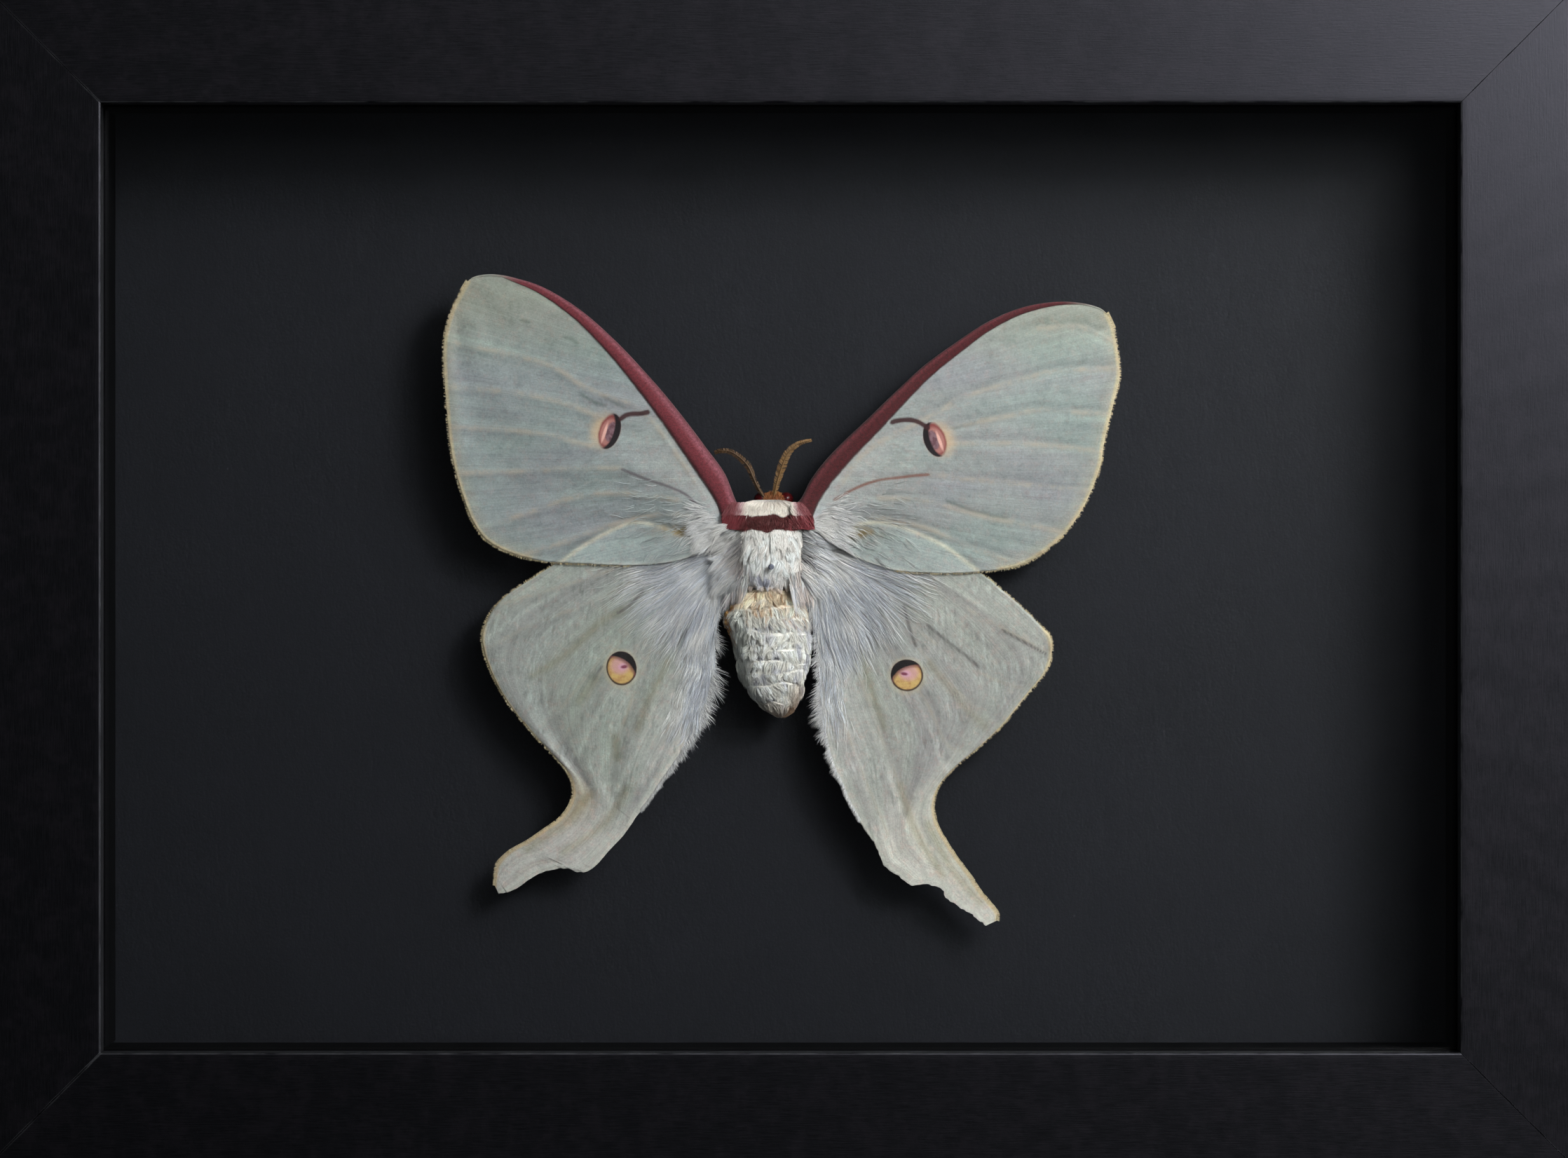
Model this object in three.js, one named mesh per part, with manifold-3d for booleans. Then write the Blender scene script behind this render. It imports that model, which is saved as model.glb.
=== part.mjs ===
// Framed luna moth specimen: a spread moth on a pin in a deep glazed frame.
// Millimetres, +Z up. The frame stands on its bottom rail and faces -Y.
// Origin: bottom centre of the whole object.

import * as THREE from 'three';
import { mergeVertices } from 'three/addons/utils/BufferGeometryUtils.js';
import Module from 'manifold-3d';

const wasm = await Module();
wasm.setup();

// Driving dimensions of the frame
const openingWidth = 171.5; // sight size of a frame for a 5 x 7 inch picture
const openingHeight = 119.8;
const railWidth = 22; // face of a rail, from the opening to the outer edge
const railDepth = 34;
const lipDepth = 4; // thickness of the front lip that holds the glass
const rabbetWidth = 6; // how far the lip stands in front of the glass
const edgeRound = 0.7; // eased edges of the rails
const fitGap = 0.3; // play between pieces that lie face to face
const mitreGap = 0.08; // half of the joint line between two rails
const glassThickness = 2;
const spacerDepth = 14; // strips between the glass and the backing
const boardThickness = 5; // foam board that the pin stands in
const panelThickness = 3;
const bumperHeight = 2;
const bumperRadius = 5;
const bumperInset = 18;

// Framer's points, the flat steel tabs that hold the back panel
const pointLength = 11;
const pointWidth = 6;
const pointThickness = 0.6;
const pointBite = 4; // length pushed into the rail
const pointOffset = 55; // from the middle of the long rails

// Sawtooth hanger on the top rail
const hangerLength = 46;
const hangerHeight = 9;
const hangerThickness = 1;
const hangerRaise = 0.9; // how far the toothed middle stands off
const hangerEnd = 8; // flat tab at each end
const hangerSlope = 2;
const toothPitch = 2;
const toothDepth = 1.4;
const nailRadius = 0.7;
const nailHeadRadius = 1.9;
const nailHeadHeight = 0.8;
const nailLength = 9;

// The moth, measured from the pin: x to the right, z up, height off the backing
const pinX = -1.2;
const pinAboveMiddle = 1.4;
const pinRadius = 0.25;
const pinHeadRadius = 0.38;
const pinTop = 10.1;
const pinInBoard = 4.3;
const pinHole = 0.5;
const bodyHeight = 5.1; // axis of the thorax above the backing
const bodyShift = -0.3;
const bodyFlatness = 0.84; // height of the body over its width
const wingThickness = 0.4;
const foreHeight = 6.8; // middle surface of the forewings
const hindHeight = 5.6;
const forePleat = 0.1;
const hindPleat = 0.14;
const ridgeShare = 0.2; // height of the front vein over its width
const ridgeColumns = 3;
const lockDepth = 0.14; // relief of the woolly coat

// Where each part of the stack starts, measured from the front face
const glassFront = lipDepth + fitGap;
const spacerFront = glassFront + glassThickness + fitGap;
const boardFront = spacerFront + spacerDepth + fitGap;
const panelFront = boardFront + boardThickness + fitGap;
const panelBack = panelFront + panelThickness;

const frameWidth = openingWidth + 2 * railWidth;
const frameHeight = openingHeight + 2 * railWidth;
const insideWidth = openingWidth + 2 * rabbetWidth;
const insideHeight = openingHeight + 2 * rabbetWidth;
const middleZ = frameHeight / 2;
const frontY = -(railDepth + bumperHeight) / 2; // the bumpers stand proud behind
const backY = frontY + railDepth;
const backingY = frontY + boardFront;

const materials = {
	paint: new THREE.MeshStandardMaterial({ color: 0x1b1d21, roughness: 0.5, metalness: 0 }),
	glass: new THREE.MeshStandardMaterial({ color: 0xe8f0ee, roughness: 0.05, metalness: 0 }),
	card: new THREE.MeshStandardMaterial({ color: 0x17181b, roughness: 0.9, metalness: 0 }),
	board: new THREE.MeshStandardMaterial({ color: 0x202228, roughness: 0.95, metalness: 0 }),
	panel: new THREE.MeshStandardMaterial({ color: 0x8a6a48, roughness: 0.8, metalness: 0 }),
	steel: new THREE.MeshStandardMaterial({ color: 0xb0b2b5, roughness: 0.35, metalness: 1 }),
	rubber: new THREE.MeshStandardMaterial({ color: 0x26262a, roughness: 0.8, metalness: 0 }),
	pin: new THREE.MeshStandardMaterial({ color: 0x15161a, roughness: 0.3, metalness: 0.8 }),
	wool: new THREE.MeshStandardMaterial({ color: 0xd9d4d1, roughness: 1, metalness: 0 }),
	abdomen: new THREE.MeshStandardMaterial({ color: 0xc9c1b3, roughness: 1, metalness: 0 }),
	head: new THREE.MeshStandardMaterial({ color: 0xa8703c, roughness: 0.9, metalness: 0 }),
	forewing: new THREE.MeshStandardMaterial({ color: 0x9cada9, roughness: 0.8, metalness: 0 }),
	hindwing: new THREE.MeshStandardMaterial({ color: 0xa6a89d, roughness: 0.8, metalness: 0 }),
	antenna: new THREE.MeshStandardMaterial({ color: 0x96733c, roughness: 0.9, metalness: 0 }),
	leg: new THREE.MeshStandardMaterial({ color: 0x7a4a3a, roughness: 0.8, metalness: 0 }),
};

const specimen = new THREE.Group();
const moth = new THREE.Group();
moth.position.set(pinX, backingY, middleZ + pinAboveMiddle);
specimen.add(moth);

function addPiece(group, name, geometry, material) {
	const mesh = new THREE.Mesh(geometry, material);
	mesh.name = name;
	group.add(mesh);
	return mesh;
}

// Turns a geometry inside out if its faces point inwards, and merges its corners
function closedGeometry(geometry) {
	geometry.deleteAttribute('normal');
	geometry.deleteAttribute('uv');
	const merged = mergeVertices(geometry, 1e-4);
	const place = merged.attributes.position;
	const index = merged.index.array;
	const a = new THREE.Vector3();
	const b = new THREE.Vector3();
	const c = new THREE.Vector3();
	let volume = 0;
	for (let i = 0; i < index.length; i += 3) {
		a.fromBufferAttribute(place, index[i]);
		b.fromBufferAttribute(place, index[i + 1]);
		c.fromBufferAttribute(place, index[i + 2]);
		volume += a.dot(b.cross(c));
	}
	if (volume < 0) {
		for (let i = 0; i < index.length; i += 3) {
			const first = index[i];
			index[i] = index[i + 1];
			index[i + 1] = first;
		}
	}
	return merged;
}

function solid(geometry) {
	const closed = closedGeometry(geometry);
	return new wasm.Manifold(new wasm.Mesh({
		numProp: 3,
		vertProperties: new Float32Array(closed.attributes.position.array),
		triVerts: new Uint32Array(closed.index.array),
	}));
}

function geometryOf(manifold) {
	const mesh = manifold.getMesh();
	const geometry = new THREE.BufferGeometry();
	geometry.setAttribute('position', new THREE.BufferAttribute(mesh.vertProperties, 3));
	geometry.setIndex(new THREE.BufferAttribute(mesh.triVerts, 1));
	return geometry;
}

function boxAt(width, depth, height, x, y, z) {
	return new THREE.BoxGeometry(width, depth, height).translate(x, y, z);
}

// One mitred rail: x along the rail, y from front to back, z outwards from the opening
function railGeometry(halfOpening, pointPlaces, nailPlaces) {
	const section = new THREE.Shape();
	section.moveTo(0, edgeRound);
	section.quadraticCurveTo(0, 0, edgeRound, 0);
	section.lineTo(railWidth - edgeRound, 0);
	section.quadraticCurveTo(railWidth, 0, railWidth, edgeRound);
	section.lineTo(railWidth, railDepth);
	section.lineTo(rabbetWidth, railDepth);
	section.lineTo(rabbetWidth, lipDepth);
	section.lineTo(0, lipDepth);
	const rail = new THREE.ExtrudeGeometry(section, { depth: 1, bevelEnabled: false, curveSegments: 3 });
	const place = rail.attributes.position;
	for (let i = 0; i < place.count; i++) {
		const outward = place.getX(i);
		const depth = place.getY(i);
		const end = 1 - 2 * place.getZ(i);
		place.setXYZ(i, end * (halfOpening + outward - mitreGap), depth, outward);
	}
	let body = solid(rail);
	for (const x of pointPlaces) {
		body = body.subtract(solid(pointGeometry(fitGap / 2).translate(x, 0, 0)));
	}
	for (const x of nailPlaces) {
		const hole = new THREE.CylinderGeometry(nailRadius + fitGap / 2, nailRadius + fitGap / 2, nailLength, 12);
		hole.translate(x, railDepth - nailLength / 2 + 1, hangerOut);
		body = body.subtract(solid(hole));
	}
	return geometryOf(body);
}

// A framer's point in the same coordinates as the rail it is pushed into
function pointGeometry(extra) {
	return boxAt(
		pointWidth + 2 * extra,
		pointThickness + 2 * extra,
		pointLength + 2 * extra,
		0,
		panelBack + fitGap / 2 + pointThickness / 2,
		rabbetWidth + pointBite - pointLength / 2,
	);
}

const hangerOut = (railWidth + rabbetWidth) / 2 - 1; // middle of the rail's back face
const nailX = hangerLength / 2 - hangerEnd / 2;

// Rails, each with the framer's points pushed into it
function addRails() {
	const sides = [
		['top', openingWidth / 2, openingHeight / 2, 0, [-pointOffset, pointOffset], [-nailX, nailX]],
		['bottom', openingWidth / 2, openingHeight / 2, Math.PI, [-pointOffset, pointOffset], []],
		['left', openingHeight / 2, openingWidth / 2, -Math.PI / 2, [0], []],
		['right', openingHeight / 2, openingWidth / 2, Math.PI / 2, [0], []],
	];
	for (const [side, halfOpening, reach, turn, pointPlaces, nailPlaces] of sides) {
		const group = new THREE.Group();
		group.position.set(Math.sin(turn) * reach, frontY, middleZ + Math.cos(turn) * reach);
		group.rotation.y = turn;
		addPiece(group, `rail_${side}`, railGeometry(halfOpening, pointPlaces, nailPlaces), materials.paint);
		pointPlaces.forEach((x, count) => {
			const name = pointPlaces.length > 1 ? `point_${side}_${count + 1}` : `point_${side}`;
			addPiece(group, name, pointGeometry(0).translate(x, 0, 0), materials.steel);
		});
		specimen.add(group);
	}
}

function addGlass() {
	const width = insideWidth - 2 * fitGap;
	const height = insideHeight - 2 * fitGap;
	const middle = frontY + glassFront + glassThickness / 2;
	addPiece(specimen, 'glass', boxAt(width, glassThickness, height, 0, middle, middleZ), materials.glass);
}

// Black strips whose inner faces are flush with the lip
function addSpacers() {
	const strip = rabbetWidth - fitGap;
	const middle = frontY + spacerFront + spacerDepth / 2;
	const long = insideWidth - 2 * fitGap;
	const short = openingHeight - 2 * fitGap;
	const outZ = openingHeight / 2 + strip / 2;
	const outX = openingWidth / 2 + strip / 2;
	for (const [side, sign] of [['top', 1], ['bottom', -1]]) {
		const geometry = boxAt(long, spacerDepth, strip, 0, middle, middleZ + sign * outZ);
		addPiece(specimen, `spacer_${side}`, geometry, materials.card);
	}
	for (const [side, sign] of [['left', -1], ['right', 1]]) {
		const geometry = boxAt(strip, spacerDepth, short, sign * outX, middle, middleZ);
		addPiece(specimen, `spacer_${side}`, geometry, materials.card);
	}
}

function addBacking() {
	const width = insideWidth - 2 * fitGap;
	const height = insideHeight - 2 * fitGap;
	const board = solid(boxAt(width, boardThickness, height, 0, backingY + boardThickness / 2, middleZ));
	const hole = new THREE.CylinderGeometry(pinHole, pinHole, 2 * (pinInBoard + fitGap), 10);
	hole.translate(pinX, backingY, middleZ + pinAboveMiddle);
	addPiece(specimen, 'backing_board', geometryOf(board.subtract(solid(hole))), materials.board);
	const panelMiddle = frontY + panelFront + panelThickness / 2;
	addPiece(specimen, 'back_panel', boxAt(width, panelThickness, height, 0, panelMiddle, middleZ), materials.panel);
}

// Stamped plate with flat ends and a raised, toothed middle
function addHanger() {
	const half = hangerLength / 2;
	const flat = half - hangerEnd;
	const raised = flat - hangerSlope;
	const seat = backY + fitGap / 3;
	const bends = [[-half, 0], [-flat, 0], [-raised, hangerRaise], [raised, hangerRaise], [flat, 0], [half, 0]];
	const side = new THREE.Shape(bends.map(([x, raise]) => new THREE.Vector2(x, seat + raise)));
	for (const [x, raise] of bends.reverse()) {
		side.lineTo(x, seat + raise + hangerThickness);
	}
	const plate = new THREE.ExtrudeGeometry(side, { depth: hangerHeight, bevelEnabled: false });
	plate.translate(0, 0, -hangerHeight / 2);
	let hanger = solid(plate);
	const toothCount = Math.floor((2 * raised) / toothPitch);
	for (let tooth = 0; tooth < toothCount; tooth++) {
		const notch = new THREE.CylinderGeometry(toothDepth, toothDepth, 3 * hangerThickness, 4);
		notch.scale(toothPitch / toothDepth / 2, 1, 1);
		const x = (tooth + 0.5 - toothCount / 2) * toothPitch;
		notch.translate(x, seat + hangerRaise + hangerThickness / 2, -hangerHeight / 2);
		hanger = hanger.subtract(solid(notch));
	}
	for (const x of [-nailX, nailX]) {
		const hole = new THREE.CylinderGeometry(nailRadius + fitGap / 2, nailRadius + fitGap / 2, nailLength, 12);
		hanger = hanger.subtract(solid(hole.translate(x, seat, 0)));
	}
	const piece = addPiece(specimen, 'hanger', geometryOf(hanger), materials.steel);
	piece.position.z = middleZ + openingHeight / 2 + hangerOut;
	for (const [name, sign] of [['left', -1], ['right', 1]]) {
		addPiece(specimen, `hanger_nail_${name}`, nailGeometry(sign * nailX), materials.steel);
	}
}

function nailGeometry(x) {
	const head = backY + fitGap / 3 + hangerThickness + fitGap / 3;
	const tip = head - nailLength + 1;
	const profile = [
		[0, tip],
		[nailRadius, tip + 1.5],
		[nailRadius, head],
		[nailHeadRadius, head],
		[nailHeadRadius * 0.7, head + nailHeadHeight * 0.8],
		[0, head + nailHeadHeight],
	].map(([radius, along]) => new THREE.Vector2(radius, along));
	const nail = new THREE.LatheGeometry(profile, 12);
	nail.translate(x, 0, middleZ + openingHeight / 2 + hangerOut);
	return closedGeometry(nail);
}

function addBumpers() {
	const profile = [
		[0, backY + fitGap / 3],
		[bumperRadius, backY + fitGap / 3],
		[bumperRadius, backY + bumperHeight * 0.6],
		[bumperRadius * 0.8, backY + bumperHeight],
		[0, backY + bumperHeight],
	].map(([radius, along]) => new THREE.Vector2(radius, along));
	for (const [side, sign] of [['left', -1], ['right', 1]]) {
		const bumper = new THREE.LatheGeometry(profile, 20);
		bumper.translate(sign * (frameWidth / 2 - bumperInset), 0, (railWidth - rabbetWidth) / 2);
		addPiece(specimen, `bumper_${side}`, closedGeometry(bumper), materials.rubber);
	}
}

// Pin through the thorax into the board
function pinShape() {
	const profile = [
		[0, -pinInBoard],
		[pinRadius, -pinInBoard + 1],
		[pinRadius, pinTop - 0.5],
		[pinHeadRadius, pinTop - 0.4],
		[pinHeadRadius, pinTop - 0.15],
		[pinHeadRadius * 0.6, pinTop],
		[0, pinTop],
	].map(([radius, height]) => new THREE.Vector2(radius, -height));
	return closedGeometry(new THREE.LatheGeometry(profile, 10));
}

// Body of revolution round the z axis, flattened towards the backing
function bodyShape(rings, sides, bend, relief) {
	const profile = rings.map(([z, radius]) => new THREE.Vector2(radius, z));
	const body = new THREE.LatheGeometry(profile, sides);
	const place = body.attributes.position;
	for (let i = 0; i < place.count; i++) {
		const x = place.getX(i);
		const z = place.getY(i);
		const depth = place.getZ(i);
		const radius = Math.hypot(x, depth);
		const angle = Math.atan2(depth, x);
		const swell = radius > 0.2 ? 1 + relief(angle, z) / radius : 1;
		place.setXYZ(i, x * swell + bend(z), -bodyHeight + depth * swell * bodyFlatness, z);
	}
	return body;
}

// Woolly locks, larger along the sides than on the back
function woolRelief(angle, z) {
	return lockDepth * Math.sin(5 * angle + 1.7 * z) * Math.cos(3 * angle - 2.3 * z);
}

const thoraxRings = [
	[8.75, 0], [8.7, 1.6], [8.35, 3.2], [7.6, 4], [6.95, 4.05], [6.7, 3.95], [6.3, 4.6], [5.4, 4.85],
	[4.75, 4.7], [4.2, 4.85], [2.6, 5.05], [0.8, 5.1], [-0.8, 4.9], [-1.9, 4.3], [-2.45, 2.8], [-2.6, 0],
];

function thoraxShape(extra, relief) {
	const rings = thoraxRings.map(([z, radius]) => [
		z + extra * Math.sign(z - 3) * (radius < 3 ? 1 : 0),
		radius > 0 ? radius + extra : 0,
	]);
	return bodyShape(rings, 20, () => bodyShift, relief);
}

const noRelief = () => 0;

// Abdomen: half width and middle line along its length, with a groove at each segment
const abdomenSpine = new THREE.SplineCurve([
	new THREE.Vector2(-0.3, -2.7),
	new THREE.Vector2(-0.5, -6),
	new THREE.Vector2(-0.5, -9.5),
	new THREE.Vector2(0.1, -12.5),
	new THREE.Vector2(0.7, -15.5),
	new THREE.Vector2(1.2, -18),
	new THREE.Vector2(1.4, -19.4),
]);
const abdomenGirth = [
	[-2.8, 3.6], [-4.4, 4.6], [-7, 5], [-9.6, 5.1], [-11.4, 4.85], [-13, 4.45], [-15.3, 3.6], [-17.1, 2.7],
	[-18.5, 1.6],
];
const segmentGroove = 0.22;

function spineAt(z) {
	const points = abdomenSpine.points;
	const along = points.findIndex((point) => point.y <= z);
	const next = Math.max(along === -1 ? points.length - 1 : along, 1);
	const share = (z - points[next - 1].y) / (points[next].y - points[next - 1].y);
	return THREE.MathUtils.lerp(points[next - 1].x, points[next].x, THREE.MathUtils.clamp(share, 0, 1));
}

function abdomenShape() {
	const rings = [[-2.85, 0]];
	abdomenGirth.forEach(([z, radius], count) => {
		rings.push([z, radius - segmentGroove]);
		const next = abdomenGirth[count + 1] ?? [-19.2, 0.5];
		rings.push([THREE.MathUtils.lerp(z, next[0], 0.6), THREE.MathUtils.lerp(radius, next[1], 0.5)]);
	});
	rings.push([-19.45, 0]);
	return closedGeometry(bodyShape(rings, 18, spineAt, (angle, z) => 0.5 * woolRelief(angle, z)));
}

// Head: sits low under the collar, with an eye on each side
const headMiddle = new THREE.Vector3(0.3, -4.5, 7.9);
const headSize = new THREE.Vector3(2, 1.7, 1.7);
const eyeRadius = 0.95;

function headShape(extra) {
	const skull = new THREE.SphereGeometry(1, 14, 8);
	skull.scale(headSize.x + extra, headSize.y + extra, headSize.z + extra);
	skull.translate(headMiddle.x, headMiddle.y, headMiddle.z);
	let head = solid(skull);
	for (const side of [-1, 1]) {
		const eye = new THREE.SphereGeometry(eyeRadius + extra, 10, 6);
		eye.translate(headMiddle.x + side * 1.6, headMiddle.y + 0.1, headMiddle.z + 0.75);
		head = head.add(solid(eye));
	}
	return head;
}

// A thin sheet between a front and a rear edge. Each station holds the front point and the
// rear point of one line across the sheet, as x and z from the pin.
function sheetGeometry(stations, steps, columns, surface) {
	const front = new THREE.SplineCurve(stations.map(([x, z]) => new THREE.Vector2(x, z)));
	const rear = new THREE.SplineCurve(stations.map(([, , x, z]) => new THREE.Vector2(x, z)));
	const sheet = new THREE.BoxGeometry(1, 1, 1, steps, columns, 1);
	const place = sheet.attributes.position;
	const from = new THREE.Vector2();
	const to = new THREE.Vector2();
	for (let i = 0; i < place.count; i++) {
		const along = place.getX(i) + 0.5;
		const across = place.getY(i) + 0.5;
		const top = place.getZ(i) > 0;
		front.getPoint(along, from);
		rear.getPoint(along, to);
		const { share, height } = surface(along, across, from.distanceTo(to), top);
		from.lerp(to, share);
		place.setXYZ(i, from.x, -height, from.y);
	}
	return sheet;
}

// Spreads the columns so that the first few cover the thick front vein
function ridgeShareAt(across, columns, ridge, chord) {
	const bend = ridgeColumns / columns;
	const width = Math.min(ridge, 0.7 * chord) / chord;
	return across < bend ? (across / bend) * width : width + ((across - bend) / (1 - bend)) * (1 - width);
}

function forewingShape({ stations, vein, veinEnd, lift }) {
	const steps = 28;
	const columns = 9;
	return sheetGeometry(stations, steps, columns, (along, across, chord, top) => {
		const ridge = Math.max(0.25, vein * (1 - along / veinEnd));
		const share = ridgeShareAt(across, columns, ridge, chord);
		const onRidge = THREE.MathUtils.clamp((share * chord) / ridge, 0, 1);
		const round = Math.sqrt(Math.max(0, 1 - (2 * onRidge - 1) ** 2));
		const swell = ridgeShare * ridge * round * (top ? 1 : 0.4);
		const pleat = forePleat * Math.sin(5 * Math.PI * share) * along;
		const camber = lift * Math.sin(Math.PI * along) * (1 - share);
		const middle = foreHeight + pleat + camber;
		return { share, height: middle + (top ? 1 : -1) * (wingThickness / 2 + swell) };
	});
}

function hindwingShape({ stations, droop, curl }) {
	const steps = 34;
	const columns = 7;
	return sheetGeometry(stations, steps, columns, (along, across, chord, top) => {
		const pleat = hindPleat * Math.sin(5 * Math.PI * across) * Math.min(1, 3 * along);
		const fall = droop * along * along;
		const turnUp = curl * Math.max(0, along - 0.9) ** 2 * 100;
		const middle = hindHeight + pleat - fall + turnUp;
		return { share: across, height: middle + (top ? 1 : -1) * (wingThickness / 2) };
	});
}

const leftForewing = {
	vein: 4.9,
	veinEnd: 0.8,
	lift: 0.3,
	stations: [
		[-2.6, 7.2, -3.2, 4.6], [-4.2, 7.9, -5.6, 4.9], [-5.9, 11.9, -8.5, 2.2], [-8.2, 15.1, -12.6, 0.7],
		[-10.9, 18.7, -18, 0.2], [-13.8, 22.3, -23.4, 0.4], [-17, 25.9, -28.8, 0.7], [-20.5, 29.5, -33.8, 1.9],
		[-24.7, 33.1, -37.4, 4.4], [-29.2, 35.8, -39.7, 9.7], [-32.9, 37, -41, 15.1], [-35.1, 37.4, -41.7, 22.3],
		[-36.7, 37.4, -41.9, 28.2], [-38.1, 37.1, -41.1, 32.2], [-39, 36.5, -40, 34.6],
	],
};

const rightForewing = {
	vein: 4.1,
	veinEnd: 0.92,
	lift: 0.2,
	stations: [
		[2.4, 7.9, 3.2, 4.8], [3.7, 8.6, 5.1, 5], [5.1, 11.2, 7.6, 3.1], [7, 13.7, 11.2, 1.1],
		[9.4, 16.2, 15.8, -0.4], [12.3, 18.9, 21.1, -0.8], [15.8, 22.3, 27, -0.6], [19.6, 25.8, 32.2, 0.3],
		[23.6, 28.7, 36.4, 3.1], [27.6, 31.3, 39.6, 7], [31.8, 33.1, 41.9, 12.2], [36, 33.9, 42.8, 16.9],
		[39.4, 33.8, 44.1, 22.1], [41.9, 33.2, 44.6, 25.3], [43.2, 32.2, 44.1, 29.3],
	],
};

const leftHindwing = {
	droop: 1.6,
	curl: 0,
	stations: [
		[-3.6, 2.2, -3.6, -1.6], [-5.8, 3, -5.9, -2], [-9.9, 5.2, -7, -6.5], [-14.4, 5.7, -7.4, -10.5],
		[-19.8, 4.6, -7.8, -14.4], [-24.8, 2.1, -8.5, -17.5], [-29.7, -0.9, -9.5, -20], [-34.6, -4.3, -10.7, -22.5],
		[-37, -8.3, -12.1, -24.9], [-36.3, -12.5, -13.5, -26.9], [-33.8, -17.3, -14.8, -28.8],
		[-30.9, -20.9, -16, -30.5], [-27.9, -24.2, -17.2, -31.9], [-25.9, -26.6, -18, -33.1],
		[-25.4, -29.2, -19.1, -34.6], [-26.8, -31.9, -20.9, -36.5], [-29.7, -34.1, -22.5, -38.3],
		[-31.3, -35.2, -24.1, -39.2], [-32.6, -35.9, -26.3, -38.7], [-33.6, -36.5, -28.8, -39],
		[-34.6, -37.4, -30.9, -40], [-35.3, -38.5, -32.4, -41.1], [-35.4, -39.8, -34, -41.8],
		[-35.5, -40.9, -34.9, -41.9],
	],
};

const rightHindwing = {
	droop: 1.3,
	curl: 1.1,
	stations: [
		[3.4, 1.6, 3.4, -1.7], [4.7, 2.1, 4.5, -2.2], [9, 5, 5.4, -5.6], [13.9, 5.7, 5.8, -8.7],
		[18.4, 4, 6, -11.9], [22.7, 1.7, 6.2, -15], [27, -0.9, 6.4, -18.2], [30.8, -4, 6.8, -21.1],
		[34, -7, 7.4, -24], [35.9, -9.4, 8.1, -26.1], [35.4, -13, 9, -27.9], [32.6, -16.6, 9.8, -29.9],
		[29.7, -20.2, 10.8, -31.7], [26.6, -23.1, 11.7, -33.3], [23.6, -25.6, 12.9, -35], [21.6, -27.9, 13.7, -36.4],
		[20.8, -30.3, 14.4, -38.2], [21.1, -32.6, 16.2, -39.6], [22.1, -34.6, 18, -40.8], [23.2, -36.4, 20, -40.7],
		[24.5, -38.2, 21.8, -41.3], [25.8, -40, 22.5, -42.5], [27, -41.8, 24.1, -43.6], [28.1, -43.1, 25.6, -44.5],
		[29, -44.3, 26.6, -45.3], [29, -45.3, 27.5, -46],
	],
};

// Feathered antenna: a flat comb that follows a curve, with teeth along both edges
const antennaTeeth = 13;
const antennaThickness = 0.34;

function antennaShape({ path, widths }) {
	const line = new THREE.CatmullRomCurve3(path.map(([x, z, height]) => new THREE.Vector3(x, -height, z)));
	const steps = 2 * antennaTeeth;
	const comb = new THREE.BoxGeometry(1, 1, 1, steps, 2, 1);
	const place = comb.attributes.position;
	const forward = new THREE.Vector3();
	const outward = new THREE.Vector3(0, -1, 0);
	for (let i = 0; i < place.count; i++) {
		const along = place.getX(i) + 0.5;
		const side = 2 * place.getY(i);
		const tooth = Math.round(along * steps) % 2 === 1 ? 1 : 0.45;
		const [base, widest, tip] = widths;
		const width = along < 0.45
			? THREE.MathUtils.lerp(base, widest, along / 0.45)
			: THREE.MathUtils.lerp(widest, tip, (along - 0.45) / 0.55);
		const point = line.getPoint(along);
		forward.copy(line.getTangent(along));
		const across = new THREE.Vector3().crossVectors(outward, forward).normalize();
		const thickness = antennaThickness * (side === 0 ? 1.3 : 0.8);
		point.addScaledVector(across, (side * width * tooth) / 2);
		point.addScaledVector(outward, place.getZ(i) * thickness);
		place.setXYZ(i, point.x, point.y, point.z);
	}
	return comb;
}

const leftAntenna = {
	widths: [0.5, 1.05, 0.55],
	path: [[-0.9, 8.9, 5.2], [-1.5, 9.8, 5.4], [-2.3, 11.4, 5.2], [-2.9, 12.8, 5], [-4, 14, 4.7], [-5.3, 14.8, 4.4],
		[-6.5, 14.9, 4.2], [-7.2, 14.7, 4]],
};

const rightAntenna = {
	widths: [0.5, 1.35, 0.35],
	path: [[0.2, 8.9, 5.4], [0.5, 9.8, 5.8], [0.9, 11.4, 6.3], [1.5, 13.2, 6.8], [2.3, 14.8, 7.1], [3.6, 15.8, 7.3],
		[5.1, 16.2, 7.4]],
};

// Legs folded under the body: thigh out, shin back, foot along the body
const legSides = 6;
const legSteps = 9;
const legGirth = [0.5, 0.42, 0.3, 0.2]; // radius at hip, knee, ankle and toe
const legHeight = [2.5, 3, 1.7, 0.9];
const hipOut = 2.4;

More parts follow.
